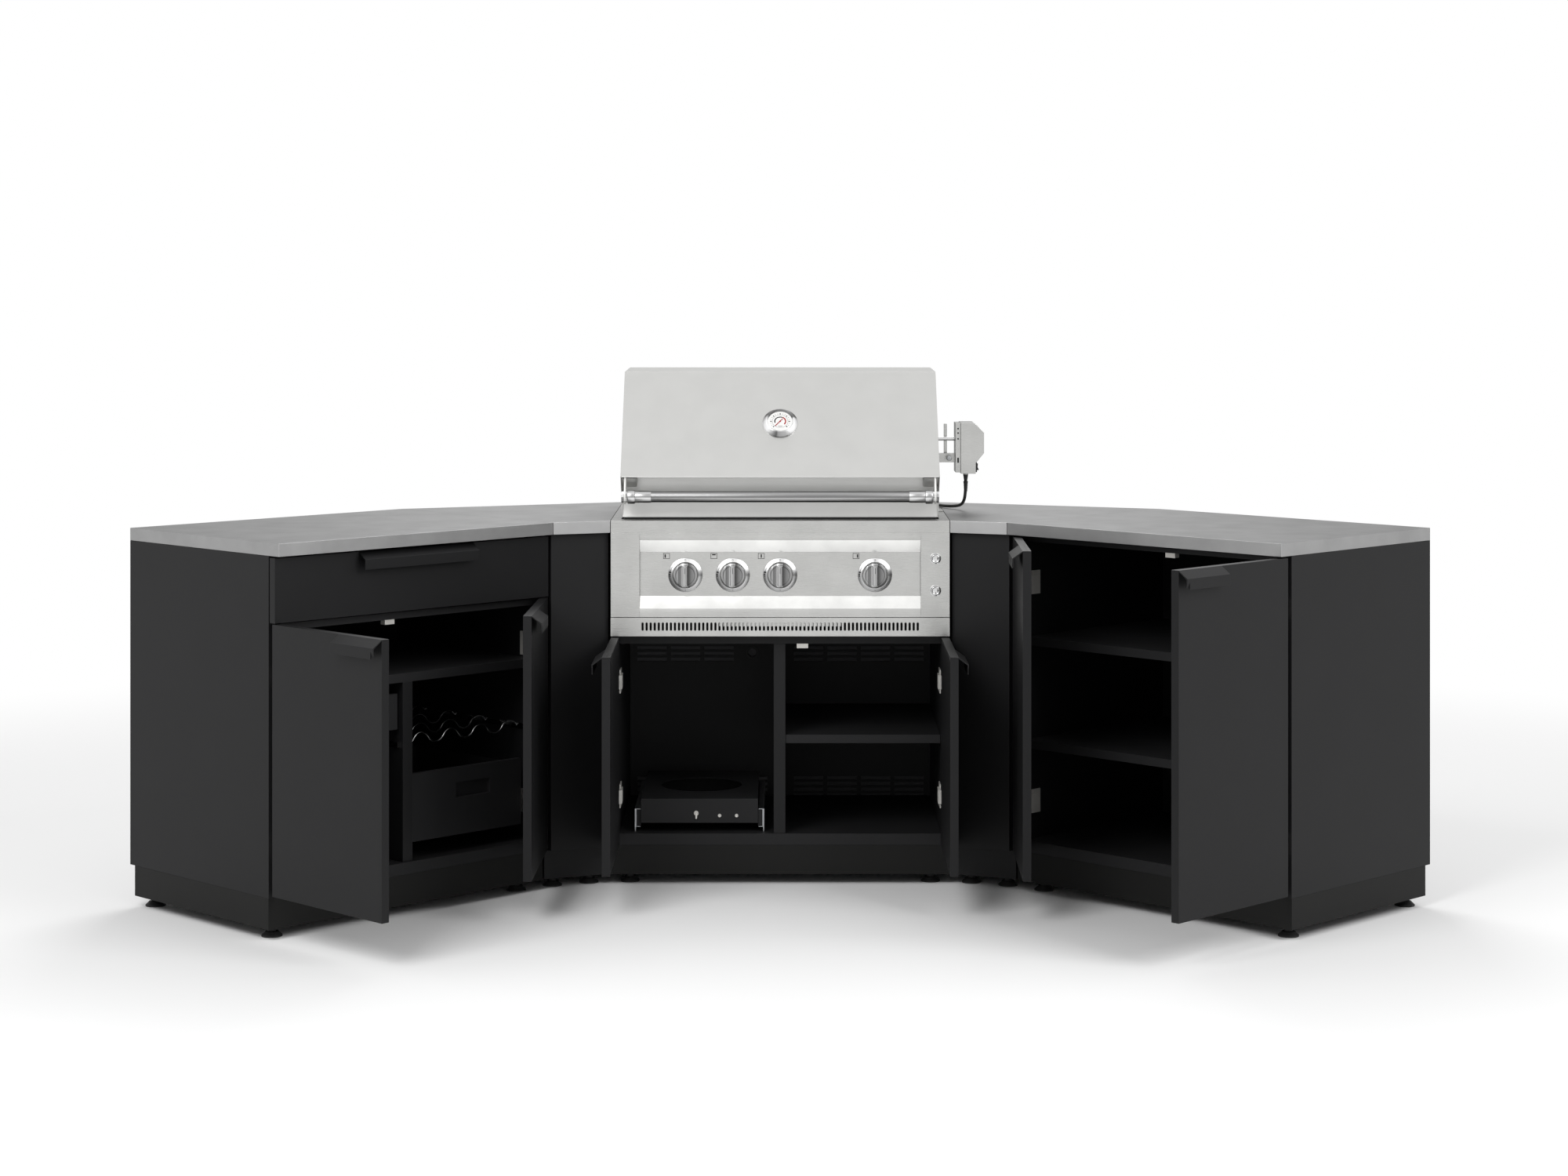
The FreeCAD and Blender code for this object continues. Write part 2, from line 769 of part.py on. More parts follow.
def hinge_arm(z):
    """A strap from the side panel's inner face to an eye round the hinge pin, in the pivot's frame."""
    half = sz.hinge_arm_half
    eye_r = number(sz.hinge_eye_radius)
    wall_x = sz.panel_thick - sz.door_reveal - pivot_in
    wall_y = sz.carcass_front - sz.door_setback - pivot_back
    w = number(wall_x)
    d = number(wall_y)
    strap = number(sz.hinge_strap)
    elbow = (w + 4.5, d)
    angle = math.atan2(elbow[1], elbow[0])
    nx = -math.sin(angle) * strap / 2
    ny = math.cos(angle) * strap / 2
    start = (eye_r * 0.5 * math.cos(angle), eye_r * 0.5 * math.sin(angle))
    outline = [
        (start[0] + nx, start[1] + ny), (start[0] - nx, start[1] - ny),
        (elbow[0] - nx + 1.5, elbow[1] - ny), (elbow[0] + 1.8, d + 46), (elbow[0] - 1.2, d + 46),
        (elbow[0] + nx - 0.2, elbow[1] + ny),
    ]
    arm = prism("XY", outline, 2 * half, 0, 0, z - half)
    eye = rod("z", sz.hinge_eye_radius, 0, 0, z - half, 2 * half)
    plate = block(wall_x, wall_x + 2.5, d + 6, d + 60, z - half - 12, z + half + 12)
    foot_block = block(wall_x + 2, elbow[0] - 1, d + 20, d + 46, z - half, z + half)
    hole = rod("z", sz.hinge_pin_radius + 0.3, 0, 0, z - half - 1, 2 * half + 2)
    return cut(fuse(arm, eye, plate, foot_block), hole)


def pivot_frame(frame, wide, z0, swing, right_hand):
    """The placement of a door's pivot on a module, opened by swing degrees."""
    side = number(sz.door_reveal + pivot_in)
    x = number(wide) - side if right_hand else side
    y = number(sz.door_setback + pivot_back)
    turn = swing if right_hand else -swing
    return frame.multiply(Placement(Vector(x, y, number(z0)), Rotation(Vector(0, 0, 1), turn)))


def flipped(thing):
    """A left-hinged piece made right-hinged, still about its pivot."""
    return mirrored(thing)


arms = []
doors = {}


def hang(name, frame, wide, low, high, swing, right_hand, world_mirror=False):
    """Make one door, hang it at its swing and add its two fixed hinge arms."""
    door_wide = (wide - 2 * sz.door_reveal - sz.door_middle_gap) / 2
    tall = high - low
    leaf = group(*door(door_wide, tall, sz.hinge_inset - 2))
    pair = group(hinge_arm(sz.hinge_inset - 2), hinge_arm(tall - sz.hinge_inset))
    if right_hand:
        leaf = group(flipped(leaf))
        pair = group(flipped(pair))
    leaf.Placement = pivot_frame(frame, wide, low, swing, right_hand)
    pair.Placement = pivot_frame(frame, wide, low, 0, right_hand)
    spot = pivot_frame(frame, wide, low, swing, right_hand).Base
    if world_mirror:
        leaf = mirrored(leaf)
        pair = mirrored(pair)
        spot = Vector(-spot.x, spot.y, spot.z)
    arms.append(pair)
    node(name, leaf)
    doors[name] = spot


WIDE_SWING = 90
LEFT_INNER_SWING = 44
RIGHT_INNER_SWING = 46
hang("left_outer_door", WING, cab, sz.door_bottom, sz.low_door_top, WIDE_SWING, False)
hang("left_inner_door", WING, cab, sz.door_bottom, sz.low_door_top, LEFT_INNER_SWING, True)
hang("right_outer_door", WING, cab, sz.door_bottom, sz.front_top, WIDE_SWING, False, True)
hang("right_inner_door", WING, cab, sz.door_bottom, sz.front_top, RIGHT_INNER_SWING, True, True)
hang("grill_left_door", GRILL, grill_x, sz.door_bottom, sz.grill_door_top, WIDE_SWING, False)
hang("grill_right_door", GRILL, grill_x, sz.door_bottom, sz.grill_door_top, WIDE_SWING, True)
node("hinge_arms", group(*arms))
for name, spot in doors.items():
    print(f"pivot {name} {spot.x:.4f} {spot.y:.4f}")


def catch(x, y, z_top):
    """A magnetic catch under the rail's front lip, behind the doors' meeting edges."""
    return block(x - 14, x + 14, y, y + 16, z_top - 11, z_top)


node("catches_and_clips", group(
    left_clips, right_clips, grill_clips,
    placed(group(catch(cab / 2 - 62, sz.carcass_front + 2, sz.low_door_top - 2 - sz.rail_height)), WING),
    mirrored(placed(group(catch(cab / 2 - 62, sz.carcass_front, under_top - sz.rail_height)), WING)),
    placed(group(catch(grill_x / 2 + 55, sz.carcass_front, sz.grill_door_top - 20)), GRILL),
))

# Slides and drawers. A slide is a channel on the cabinet that a bar on the drawer runs in.


def slide_channel(x_wall, outward, y0, z, length):
    """A C channel that opens away from its wall; outward is +1 where it stands on its wall towards +X."""
    wide = sz.slide_width
    half = sz.slide_height / 2
    if outward > 0:
        body = block(x_wall, x_wall + wide, y0, y0 + length, z - half, z + half)
        inner = block(x_wall + 1.5, x_wall + wide + 1, y0 - 1, y0 + length + 1, z - half + 1.5, z + half - 1.5)
    else:
        body = block(x_wall - wide, x_wall, y0, y0 + length, z - half, z + half)
        inner = block(x_wall - wide - 1, x_wall - 1.5, y0 - 1, y0 + length + 1, z - half + 1.5, z + half - 1.5)
    return cut(body, inner)


def slide_bar(x_wall, outward, y0, z, length):
    """The drawer's bar, which fills the channel with a little play and meets the drawer's side."""
    play = sz.slide_play
    half = sz.slide_height / 2 - 1.5 - play
    reach = sz.slide_width + 1.5
    if outward > 0:
        return block(x_wall + 1.5 + play, x_wall + reach, y0, y0 + length, z - half, z + half)
    return block(x_wall - reach, x_wall - 1.5 - play, y0, y0 + length, z - half, z + half)


def drawer_box(x0, x1, y0, y1, z0, z1):
    """An open-topped box."""
    wall = 1.5
    return cut(block(x0, x1, y0, y1, z0, z1),
               block(x0 + wall, x1 - wall, y0 + wall, y1 - wall, z0 + wall, z1 + 1))


reach = sz.slide_width + 1.5
rails = []

# Top drawer of the left wing
front_y0 = sz.door_setback
front_y1 = sz.door_setback + sz.door_thick
top_x0 = sz.door_reveal
top_x1 = cab - sz.door_reveal
drawer_z = (sz.top_drawer_low + sz.top_drawer_high) / 2
drawer_y0 = sz.carcass_front + 2
top_front = cased(top_x0, top_x1, front_y0, front_y1, sz.drawer_front_bottom, sz.front_top, "y+")
pull_mid = cab / 2
pull_x0 = pull_mid - sz.drawer_pull_length / 2
pull_x1 = pull_mid + sz.drawer_pull_length / 2
pull_seat = block(pull_x0, pull_x1, front_y0 - 1, front_y0 + 12, sz.front_top - sz.pull_sheet, sz.front_top + 1)
top_pull = edge_pull(pull_x0, pull_x1, front_y0, sz.front_top, None)
top_box = fuse(
    drawer_box(inside_left + reach, inside_right - reach, front_y1, drawer_y0 + sz.top_drawer_depth,
               sz.top_drawer_low, sz.top_drawer_high),
    slide_bar(inside_left, 1, drawer_y0 + 4, drawer_z, sz.slide_length - 10),
    slide_bar(inside_right, -1, drawer_y0 + 4, drawer_z, sz.slide_length - 10),
)
node("top_drawer", placed(group(cut(top_front[0], pull_seat), top_front[1], top_pull, top_box), WING))
rails += [
    slide_channel(inside_left, 1, drawer_y0, drawer_z, sz.slide_length),
    slide_channel(inside_right, -1, drawer_y0, drawer_z, sz.slide_length),
]


def inner_drawer(x0, x1, y0, low, high, long, pull_at):
    """A drawer between two walls: box, slide bars and a front with a recessed pull cup."""
    z = (low + high) / 2
    box = drawer_box(x0 + reach, x1 - reach, y0 + 15, y0 + long, low + 10, high - 12)
    front = block(x0 + 3, x1 - reach + 8, y0, y0 + 15, low, high)
    well = block(pull_at - 52, pull_at + 52, y0 - 1, y0 + 11, high - 72, high - 36)
    bars = [slide_bar(x0, 1, y0 + 20, z, long - 30), slide_bar(x1, -1, y0 + 20, z, long - 30)]
    channels = [slide_channel(x0, 1, y0 + 18, z, long), slide_channel(x1, -1, y0 + 18, z, long)]
    return [cut(front, well), fuse(box, *bars)], channels


bin_x0 = sz.left_divider + sz.divider_thick
bin_x1 = inside_right - sz.bin_spacer
bin_z = (sz.bin_front_low + sz.bin_front_high) / 2
bin_spacer = block(bin_x1, inside_right, 110, 110 + sz.bin_depth * 0.8, bin_z - 30, bin_z + 30)
bin_pieces, bin_rails = inner_drawer(bin_x0, bin_x1, sz.bin_front_set, sz.bin_front_low,
                                     sz.bin_front_high, sz.bin_depth, bin_x0 + 195)
node("bin_drawer", placed(group(*bin_pieces), WING))
small_pieces, small_rails = inner_drawer(inside_left, sz.left_divider, sz.bin_front_set, sz.small_front_low,
                                         sz.small_front_high, sz.small_depth, (inside_left + sz.left_divider) / 2)
node("small_drawer", placed(group(*small_pieces), WING))
rails += bin_rails + small_rails + [bin_spacer]

# Gas bottle tray in the grill cabinet
tray_y0 = 64
tray_x0 = sz.tray_left
tray_x1 = sz.tray_left + sz.tray_width
tray_z = 160
tray_plate = cut(
    block(tray_x0, tray_x1, tray_y0, tray_y0 + sz.tray_depth, sz.tray_flange_low, sz.tray_top),
    block(tray_x0 + 2, tray_x1 - 2, tray_y0 + 2, tray_y0 + sz.tray_depth - 2, sz.tray_flange_low - 1,
          sz.tray_top - 2),
    rod("z", sz.tray_hole_radius, (tray_x0 + tray_x1) / 2, tray_y0 + sz.tray_depth / 2, sz.tray_top - 5, 10),
)
tray_bars = [
    slide_bar(tray_x0 - reach, 1, tray_y0 + 6, tray_z, sz.tray_depth - 12),
    slide_bar(tray_x1 + reach, -1, tray_y0 + 6, tray_z, sz.tray_depth - 12),
]
node("gas_bottle_tray", placed(group(fuse(tray_plate, *tray_bars)), GRILL))


def tray_post(x0, x1):
    """The upright angle that holds a tray slide, on the cabinet floor."""
    return block(x0, x1, tray_y0 + 4, tray_y0 + sz.tray_depth, sz.floor_top, tray_z + sz.slide_height / 2)


tray_rails = [
    slide_channel(tray_x0 - reach, 1, tray_y0 + 4, tray_z, sz.tray_depth),
    slide_channel(tray_x1 + reach, -1, tray_y0 + 4, tray_z, sz.tray_depth),
    tray_post(tray_x0 - reach - 3, tray_x0 - reach),
    tray_post(tray_x1 + reach, tray_x1 + reach + 3),
]
node("slide_rails", group(placed(group(*rails), WING), placed(group(*tray_rails), GRILL)))


# Grill: deck, firebox and front

half_grill = sz.grill_width / 2 - gap
deck_half = sz.grill_width / 2 - sz.deck_side
top = sz.worktop_height
deck_t = sz.firebox_wall
deck_ring = cut(
    block(-half_grill + deck_t, half_grill - deck_t, deck_t, sz.cab_depth - deck_t, under_top - 1, top - deck_t),
    block(-deck_half - deck_t, deck_half + deck_t, sz.deck_front - deck_t, sz.deck_back + deck_t,
          under_top - 2, top),
)
deck = cut(
    cut(block(-half_grill, half_grill, 0, sz.cab_depth, under_top, top), deck_ring),
    block(-deck_half, deck_half, sz.deck_front, sz.deck_back, under_top - 1, top + 1),
)
node("deck_frame", deck)

box_half = sz.firebox_half
box_front = sz.deck_front + 4
box_back = sz.pivot_y + 12
wall = sz.firebox_wall
ledge_z = sz.grate_z - 8
RECESS_Y = 100
firebox_shell = cut(
    block(-box_half, box_half, box_front, box_back, sz.firebox_bottom, sz.firebox_top),
    block(-box_half + wall, box_half - wall, box_front + wall, box_back - wall,
          sz.firebox_bottom + wall, sz.firebox_top + 1),
    block(-box_half - 1, box_half + 1, box_front - 1, RECESS_Y + 2, sz.worktop_height - 2, sz.firebox_top + 1),
)
ledges = [
    block(-box_half + wall / 2, box_half - wall / 2, box_front + wall / 2, box_front + 14, ledge_z - 3, ledge_z),
    block(-box_half + wall / 2, box_half - wall / 2, box_back - 14, box_back - wall / 2, ledge_z - 3, ledge_z),
]
carry_z = sz.firebox_bottom - 24
carry_half = sz.grill_width / 2 - sz.panel_thick
carriers = [block(-carry_half, carry_half, y, y + 30, carry_z, sz.firebox_bottom) for y in (90, 420)]
burner_rest_z = sz.burner_z - sz.burner_radius
burner_rests = [
    block(-box_half + wall, box_half - wall, y, y + 16, burner_rest_z - 4, burner_rest_z) for y in (100, 420)
]
node("firebox", group(fuse(firebox_shell, *ledges), *carriers, *burner_rests))
node("drip_tray", cut(
    block(-box_half + 12, box_half - 12, box_front + 12, box_back - 12, sz.firebox_bottom + wall,
          sz.firebox_bottom + wall + 26),
    block(-box_half + 14, box_half - 14, box_front + 14, box_back - 14, sz.firebox_bottom + wall + 2,
          sz.firebox_bottom + wall + 27),
))

# Control panel: a folded sheet with a recessed face between two sloping bands
recess = number(sz.panel_recess)
skin = 2
low = number(sz.fascia_low)
high = number(under_top)
FACE_HIGH = number(sz.knob_height) + 56.5
FACE_LOW = number(sz.knob_height) - 51.5
SLOPE_HIGH = high - 18
SLOPE_LOW = low + 21
BACK_FLANGE = number(sz.carcass_front)
upper_fold = [
    (0, high), (0, SLOPE_HIGH), (recess, FACE_HIGH), (recess + skin, FACE_HIGH), (skin, SLOPE_HIGH + 0.8),
    (skin, high - skin), (BACK_FLANGE, high - skin), (BACK_FLANGE, high),
]
lower_fold = [
    (0, low), (0, SLOPE_LOW), (recess, FACE_LOW), (recess + skin, FACE_LOW), (skin, SLOPE_LOW - 0.8),
    (skin, low + skin), (BACK_FLANGE, low + skin), (BACK_FLANGE, low),
]
panel_half = half_grill - sz.stile_width
knob_x = [sz.knob_pitch * n for n in (-2, -1, 0, 2)]
stem_hole = sz.stem_radius + 0.75
panel_face = cut(
    block(-panel_half, panel_half, recess, recess + skin, FACE_LOW, FACE_HIGH),
    *[rod("y", stem_hole, x, recess - 2, sz.knob_height, 6) for x in knob_x],
)
panel_folds = [prism("YZ", fold, 2 * panel_half, -panel_half) for fold in (upper_fold, lower_fold)]


def stile(x0, x1, *holes):
    """A front pan beside the control panel, open at the back."""
    pan = cut(block(x0, x1, 0, BACK_FLANGE, sz.fascia_low, under_top),
              block(x0 + skin, x1 - skin, skin, BACK_FLANGE + 1, sz.fascia_low + skin, under_top - skin))
    return cut(pan, *holes) if holes else pan


button_holes = [
    rod("y", sz.button_radius + 0.3, sz.button_side, -1, z, skin + 2)
    for z in (sz.button_upper, sz.button_lower)
]
node("control_panel", group(
    panel_face,
    *panel_folds,
    stile(-half_grill, -panel_half),
    stile(panel_half, half_grill, *button_holes),
))

# Vent strip with a row of upright slots, cut in one pocket
vent_high = sz.fascia_low - 1.4


def slot_strip():
    body = doc.addObject("PartDesign::Body", "VentStrip")
    w = number(half_grill)
    plate = new_sketch(body, "XZ_Plane", [(-w, sz.vent_strip_low), (w, sz.vent_strip_low), (w, vent_high),
                                          (-w, vent_high)])
    pad = body.newObject("PartDesign::Pad", "Pad")
    pad.Profile = plate
    bind(pad, "Length", sz.firebox_wall)
    doc.recompute()
    slots = body.newObject("Sketcher::SketchObject", "Slots")
    origin = [f for f in body.Origin.OriginFeatures if f.Role == "XZ_Plane"][0]
    slots.AttachmentSupport = [(origin, "")]
    slots.MapMode = "FlatFace"
    count = int(number(sz.louvre_count))
    half_w = number(sz.louvre_width) / 2
    lo = number(sz.louvre_low) + half_w
    hi = number(sz.louvre_high) - half_w
    for i in range(count):
        x = (i - (count - 1) / 2) * number(sz.louvre_pitch)
        add_outline(slots, [(x - half_w, lo, half_w), (x + half_w, lo), (x + half_w, hi, half_w), (x - half_w, hi)])
    pocket = body.newObject("PartDesign::Pocket", "Pocket")
    pocket.Profile = slots
    pocket.Type = "ThroughAll"
    pocket.SideType = "Symmetric"
    body.Tip = pocket
    move_to(body, 0, sz.firebox_wall, 0)
    return body


strip_flanges = [
    block(-half_grill, half_grill, sz.firebox_wall, BACK_FLANGE, vent_high - skin, vent_high),
    block(-half_grill, half_grill, sz.firebox_wall, BACK_FLANGE, sz.vent_strip_low, sz.vent_strip_low + skin),
]
node("vent_strip", fuse(slot_strip(), *strip_flanges))

# Gas: manifold with a valve behind each knob, tube burners on two rails
MANIFOLD_Y = 40
manifold_pipe = rod("x", 9, -sz.knob_pitch * 2 - 60, MANIFOLD_Y, sz.knob_height, sz.knob_pitch * 4 + 120)
valves = [rod("y", 12, x, recess + skin, sz.knob_height, MANIFOLD_Y - recess - skin) for x in knob_x]
valve_bores = [rod("y", sz.stem_radius + 3.5, x, recess + skin - 1, sz.knob_height, 28) for x in knob_x]
node("gas_manifold", cut(fuse(manifold_pipe, *valves), *valve_bores))

burner_x = [-285, -95, 95, 285]
burner_len = 380
burners = [
    cut(rod("y", sz.burner_radius, x, 80, sz.burner_z, burner_len),
        rod("y", sz.burner_radius - 2, x, 79, sz.burner_z, burner_len - 2))
    for x in burner_x
]
node("burners", group(*burners))

bar = sz.grate_bar
GRATE_COUNT = 3
BAR_COUNT = 11
grate_wide = (2 * (box_half - wall) - 12) / GRATE_COUNT


def grate(x0):
    x1 = x0 + grate_wide - 3
    y0 = box_front + wall + 3
    y1 = box_back - wall - 3
    stride = (x1 - x0 - bar) / (BAR_COUNT - 1)
    bars = [block(x0 + stride * n, x0 + stride * n + bar, y0, y1, ledge_z, ledge_z + bar) for n in range(BAR_COUNT)]
    ends = [block(x0, x1, y, y + bar, ledge_z, ledge_z + bar) for y in (y0, (y0 + y1) / 2, y1 - bar)]
    return fuse(*bars, *ends)


node("cooking_grates", group(*[grate(-box_half + wall + 7.5 + grate_wide * n) for n in range(GRATE_COUNT)]))

RACK_Z = sz.firebox_top + 70
rack_half = box_half - 22
rack_wires = [rod("x", 3, -rack_half, y, RACK_Z, 2 * rack_half) for y in (372, 396, 420, 444, 468)]
rack_legs = [
    fuse(block(x0, x0 + 6, 366, 474, RACK_Z - 6, RACK_Z + 6), block(x0, x0 + 6, 412, 428, sz.firebox_top, RACK_Z),
         block(foot_x, foot_x + 22, 412, 428, sz.firebox_top, sz.firebox_top + 3))
    for x0, foot_x in ((-rack_half, -box_half), (rack_half - 6, box_half - 22))
]
node("warming_rack", fuse(*rack_wires, *rack_legs))

# Knobs: each on a stem that pushes in against its spring
BEZEL_BACK = recess
bezels = []
for number_in_row, x in enumerate(knob_x, start=1):
    stem = rod("y", sz.stem_radius, x, -14, sz.knob_height, 40)
    node(f"knob_stem_{number_in_row}", stem)
    r = number(sz.knob_radius)
    deep = number(sz.knob_depth)
    disc = turned([(0, 0), (r, 0), (r, 6), (r - 2, 10), (r - 5, 12.5), (0, 14)], "front", x, recess - 4,
                  sz.knob_height)
    grip = prism("XZ", [(-6.5, -r + 5, 3), (6.5, -r + 5), (6.5, r - 5, 3), (-6.5, r - 5)], deep - 4,
                 x, recess - 8, sz.knob_height)
    bore = rod("y", sz.stem_radius + 0.3, x, -15, sz.knob_height, 40)
    node(f"burner_knob_{number_in_row}", cut(fuse(disc, grip), bore))
    b = number(sz.bezel_radius)
    bezels.append(turned([(r + 1.5, 0), (b, 0), (b, 2), (b - 2, 6), (r + 2.5, 9), (r + 1.5, 8)], "front",
                         x, recess, sz.knob_height))
node("knob_bezels", group(*bezels))
for word, z in (("upper", sz.button_upper), ("lower", sz.button_lower)):
    br = number(sz.button_radius)
    node(f"{word}_button", turned([(0, 0), (br, 0), (br, 20), (br - 1.5, 22), (0, 23)], "front",
                                  sz.button_side, 17, z))

# Hood: two side plates and one folded skin, turning on pins at the back of the firebox
py = number(sz.pivot_y)
pz = number(sz.pivot_z)
lip_y = number(sz.hood_lip_y)
lip_z = number(sz.hood_lip_z)
edge_y = number(sz.hood_top_y)
edge_z = number(sz.hood_top_z)
back = number(sz.hood_back_y)
base_z = number(sz.hood_bottom)
t = number(sz.hood_sheet)
ROOF_RISE = 2
BACK_BEVEL = 24
LOWER_FRONT_Y = 92
heel = [(55, 30), (42, 2), (30, -24), (10, -37)]
side_outline = [
    (lip_y, lip_z), (edge_y, edge_z), (back - BACK_BEVEL, edge_z + ROOF_RISE), (back, edge_z - 20),
    *[(min(back, py + dy), pz + dz) for dy, dz in heel],
    (py + 2, base_z), (LOWER_FRONT_Y - 4, base_z), (LOWER_FRONT_Y - 4, base_z + 30),
]
skin_low = base_z - 4.5
lean_z = base_z + 36
skin_section = [
    (LOWER_FRONT_Y - t, skin_low), (RECESS_Y - t, lean_z), (RECESS_Y - t, lip_z - 6), (lip_y, lip_z - 2),
    (lip_y, lip_z),
    (edge_y, edge_z), (back - BACK_BEVEL, edge_z + ROOF_RISE), (back, edge_z - 20), (back, pz + 30),
    (back - t, pz + 30), (back - t, edge_z - 21), (back - BACK_BEVEL - 1, edge_z + ROOF_RISE - t),
    (edge_y + 1, edge_z - t), (lip_y + 4, lip_z + 0.9), (RECESS_Y, lip_z - 3.5), (RECESS_Y, lean_z - 0.8),
    (LOWER_FRONT_Y + 0.6, skin_low),
]
inner_half = sz.hood_half - sz.hood_sheet
side_left = prism("YZ", side_outline, sz.hood_sheet, -sz.hood_half)
side_right = prism("YZ", side_outline, sz.hood_sheet, inner_half)
hood_skin = prism("YZ", skin_section, 2 * inner_half, -inner_half)
pin_holes = [
    rod("x", sz.pivot_radius + 0.4, x, sz.pivot_y, sz.pivot_z, 12)
    for x in (-sz.hood_half - 4, sz.hood_half - 8)
]
# The spit stands still while the hood turns, so the right side has an arc slot for it
spit_dy = number(sz.spit_y) - py
spit_dz = number(sz.spit_z) - pz
spit_reach = math.hypot(spit_dy, spit_dz)
spit_angle = math.degrees(math.atan2(spit_dz, spit_dy))
SLOT_HALF = 9.5
SLOT_SWEEP = 55
sector = doc.addObject("Part::Cylinder", "SlotSector")
sector.Radius = spit_reach + SLOT_HALF
sector.Height = 12
sector.Angle = SLOT_SWEEP
sector.Placement = Placement(Vector(), TURNS["x"].multiply(Rotation(Vector(0, 0, 1), spit_angle + 90)))
move_to(sector, sz.hood_half - 8, sz.pivot_y, sz.pivot_z)
slot_core = rod("x", spit_reach - SLOT_HALF, sz.hood_half - 9, sz.pivot_y, sz.pivot_z, 14)
slot_end = rod("x", SLOT_HALF, sz.hood_half - 8, sz.spit_y, sz.spit_z, 12)
spit_slot = fuse(cut(sector, slot_core), slot_end)
hood_shell = cut(cut(fuse(side_left, side_right, hood_skin), *pin_holes), spit_slot)
node("hood", hood_shell)

pins = []
for sign in (-1, 1):
    x0 = -sz.hood_half - 2 if sign < 0 else sz.firebox_half
    pin = rod("x", sz.pivot_radius, x0, sz.pivot_y, sz.pivot_z, sz.hood_half - sz.firebox_half + 2)
    flange_x = -sz.firebox_half - 2.6 if sign < 0 else sz.firebox_half
    flange = rod("x", sz.pivot_radius + 7, flange_x, sz.pivot_y, sz.pivot_z, 2.6)
    tab_x = flange_x
    tab = block(tab_x, tab_x + 2.6, sz.pivot_y - 12, sz.pivot_y + 12, sz.firebox_top - 30, sz.pivot_z)
    pins.append(fuse(pin, flange, tab))
node("hood_pivots", group(*pins))

handle_bar_half = sz.hood_half - sz.handle_bracket
bar_tube = cut(
    rod("x", sz.handle_radius, -handle_bar_half, sz.handle_y, sz.handle_z, 2 * handle_bar_half),
    rod("x", sz.handle_radius - 2, -handle_bar_half - 1, sz.handle_y, sz.handle_z, 2 * handle_bar_half + 2),
)
collars = [
    cut(rod("x", sz.collar_radius, x, sz.handle_y, sz.handle_z, sz.collar_width),
        rod("x", sz.handle_radius, x - 1, sz.handle_y, sz.handle_z, sz.collar_width + 2))
    for x in (-handle_bar_half, handle_bar_half - sz.collar_width)
]
hy = number(sz.handle_y)
hz = number(sz.handle_z)
bracket_outline = [
    (hy - 18, hz - 9), (hy - 9, hz - 18), (hy + 9, hz - 18), (hy + 19, hz - 8),
    (hy + 38, lip_z - 4), (lip_y, lip_z - 2), (hy - 4, lip_z - 14), (hy - 18, hz + 9),
]
brackets = [
    prism("YZ", bracket_outline, sz.handle_bracket - sz.hood_sheet, x)
    for x in (-inner_half, handle_bar_half)
]
# A sloping gusset over each collar, from under the lip back to the skin
gusset_outline = [(lip_y + 5, lip_z - 3.5), (RECESS_Y - t, lip_z - 7), (RECESS_Y - t, hz + 21), (hy + 40, hz + 21)]
gusset_wide = sz.handle_bracket + sz.collar_width
gussets = [
    prism("YZ", gusset_outline, gusset_wide - sz.hood_sheet, x) for x in (-inner_half, sz.hood_half - gusset_wide)
]
node("hood_handle", group(bar_tube, *collars, *[fuse(*pair) for pair in zip(brackets, gussets)]))

GAUGE_Z = lip_z + 126
gauge_y = lip_y + (GAUGE_Z - lip_z) * (edge_y - lip_y) / (edge_z - lip_z)
slope_normal = Vector(0, -(edge_z - lip_z), edge_y - lip_y).normalize()
g = number(sz.gauge_radius)
gauge = turned([(0, 0), (g, 0), (g, 3), (g - 8, 13), (g - 11, 13), (g - 11, 9), (0, 9)], "z")
gauge.Placement = Placement(Vector(0, gauge_y, GAUGE_Z), Rotation(Vector(0, 0, 1), slope_normal))
gauge.setExpression("Placement.Base.x", None)
gauge.setExpression("Placement.Base.y", None)
gauge.setExpression("Placement.Base.z", None)
node("thermometer", group(gauge))

# Rotisserie
sy = sz.spit_y
s_z = sz.spit_z
spit_x0 = -sz.firebox_half + 16
spit = rod("x", sz.spit_radius, spit_x0, sy, s_z, sz.spit_end - spit_x0)
node("spit_rod", spit)
rest_x = -sz.firebox_half + 20
support = cut(
    fuse(block(rest_x, rest_x + 6, sy - 12, sy + 12, sz.firebox_top, s_z + 8),
         block(-sz.firebox_half, rest_x + 6, sy - 12, sy + 12, sz.firebox_top, sz.firebox_top + 3)),
    block(rest_x - 2, rest_x + 8, sy - sz.spit_radius - 0.4, sy + sz.spit_radius + 0.4, s_z - sz.spit_radius - 0.4, s_z + 20),
)
motor_x = sz.motor_left
motor_half = sz.motor_depth / 2
plate_x = motor_x - 13
post_x = sz.grill_width / 2 - 20
motor_bracket = cut(fuse(
    block(plate_x, motor_x, sy - 38, sy + 38, s_z - 84, s_z + 41.5),
    block(post_x, plate_x, sy - 10, sy + 10, s_z - 60, s_z - 37),
    block(post_x + 22, post_x + 30, sy + 14, sy + 22, s_z - 47, s_z + 37),
    block(post_x + 18, post_x + 33, sy - 10, sy + 22, s_z - 47, s_z - 39),
    block(post_x, post_x + 5, sy - 14, sy + 14, top, s_z - 37),
    block(post_x, post_x + 18, sy - 22, sy + 22, top, top + 3),
), rod("x", sz.spit_radius + 2.5, post_x - 7, sy, s_z, 75))
node("spit_brackets", group(support, motor_bracket))
m = number(motor_x)
axle_z = number(s_z)
case_low = axle_z - 86.8
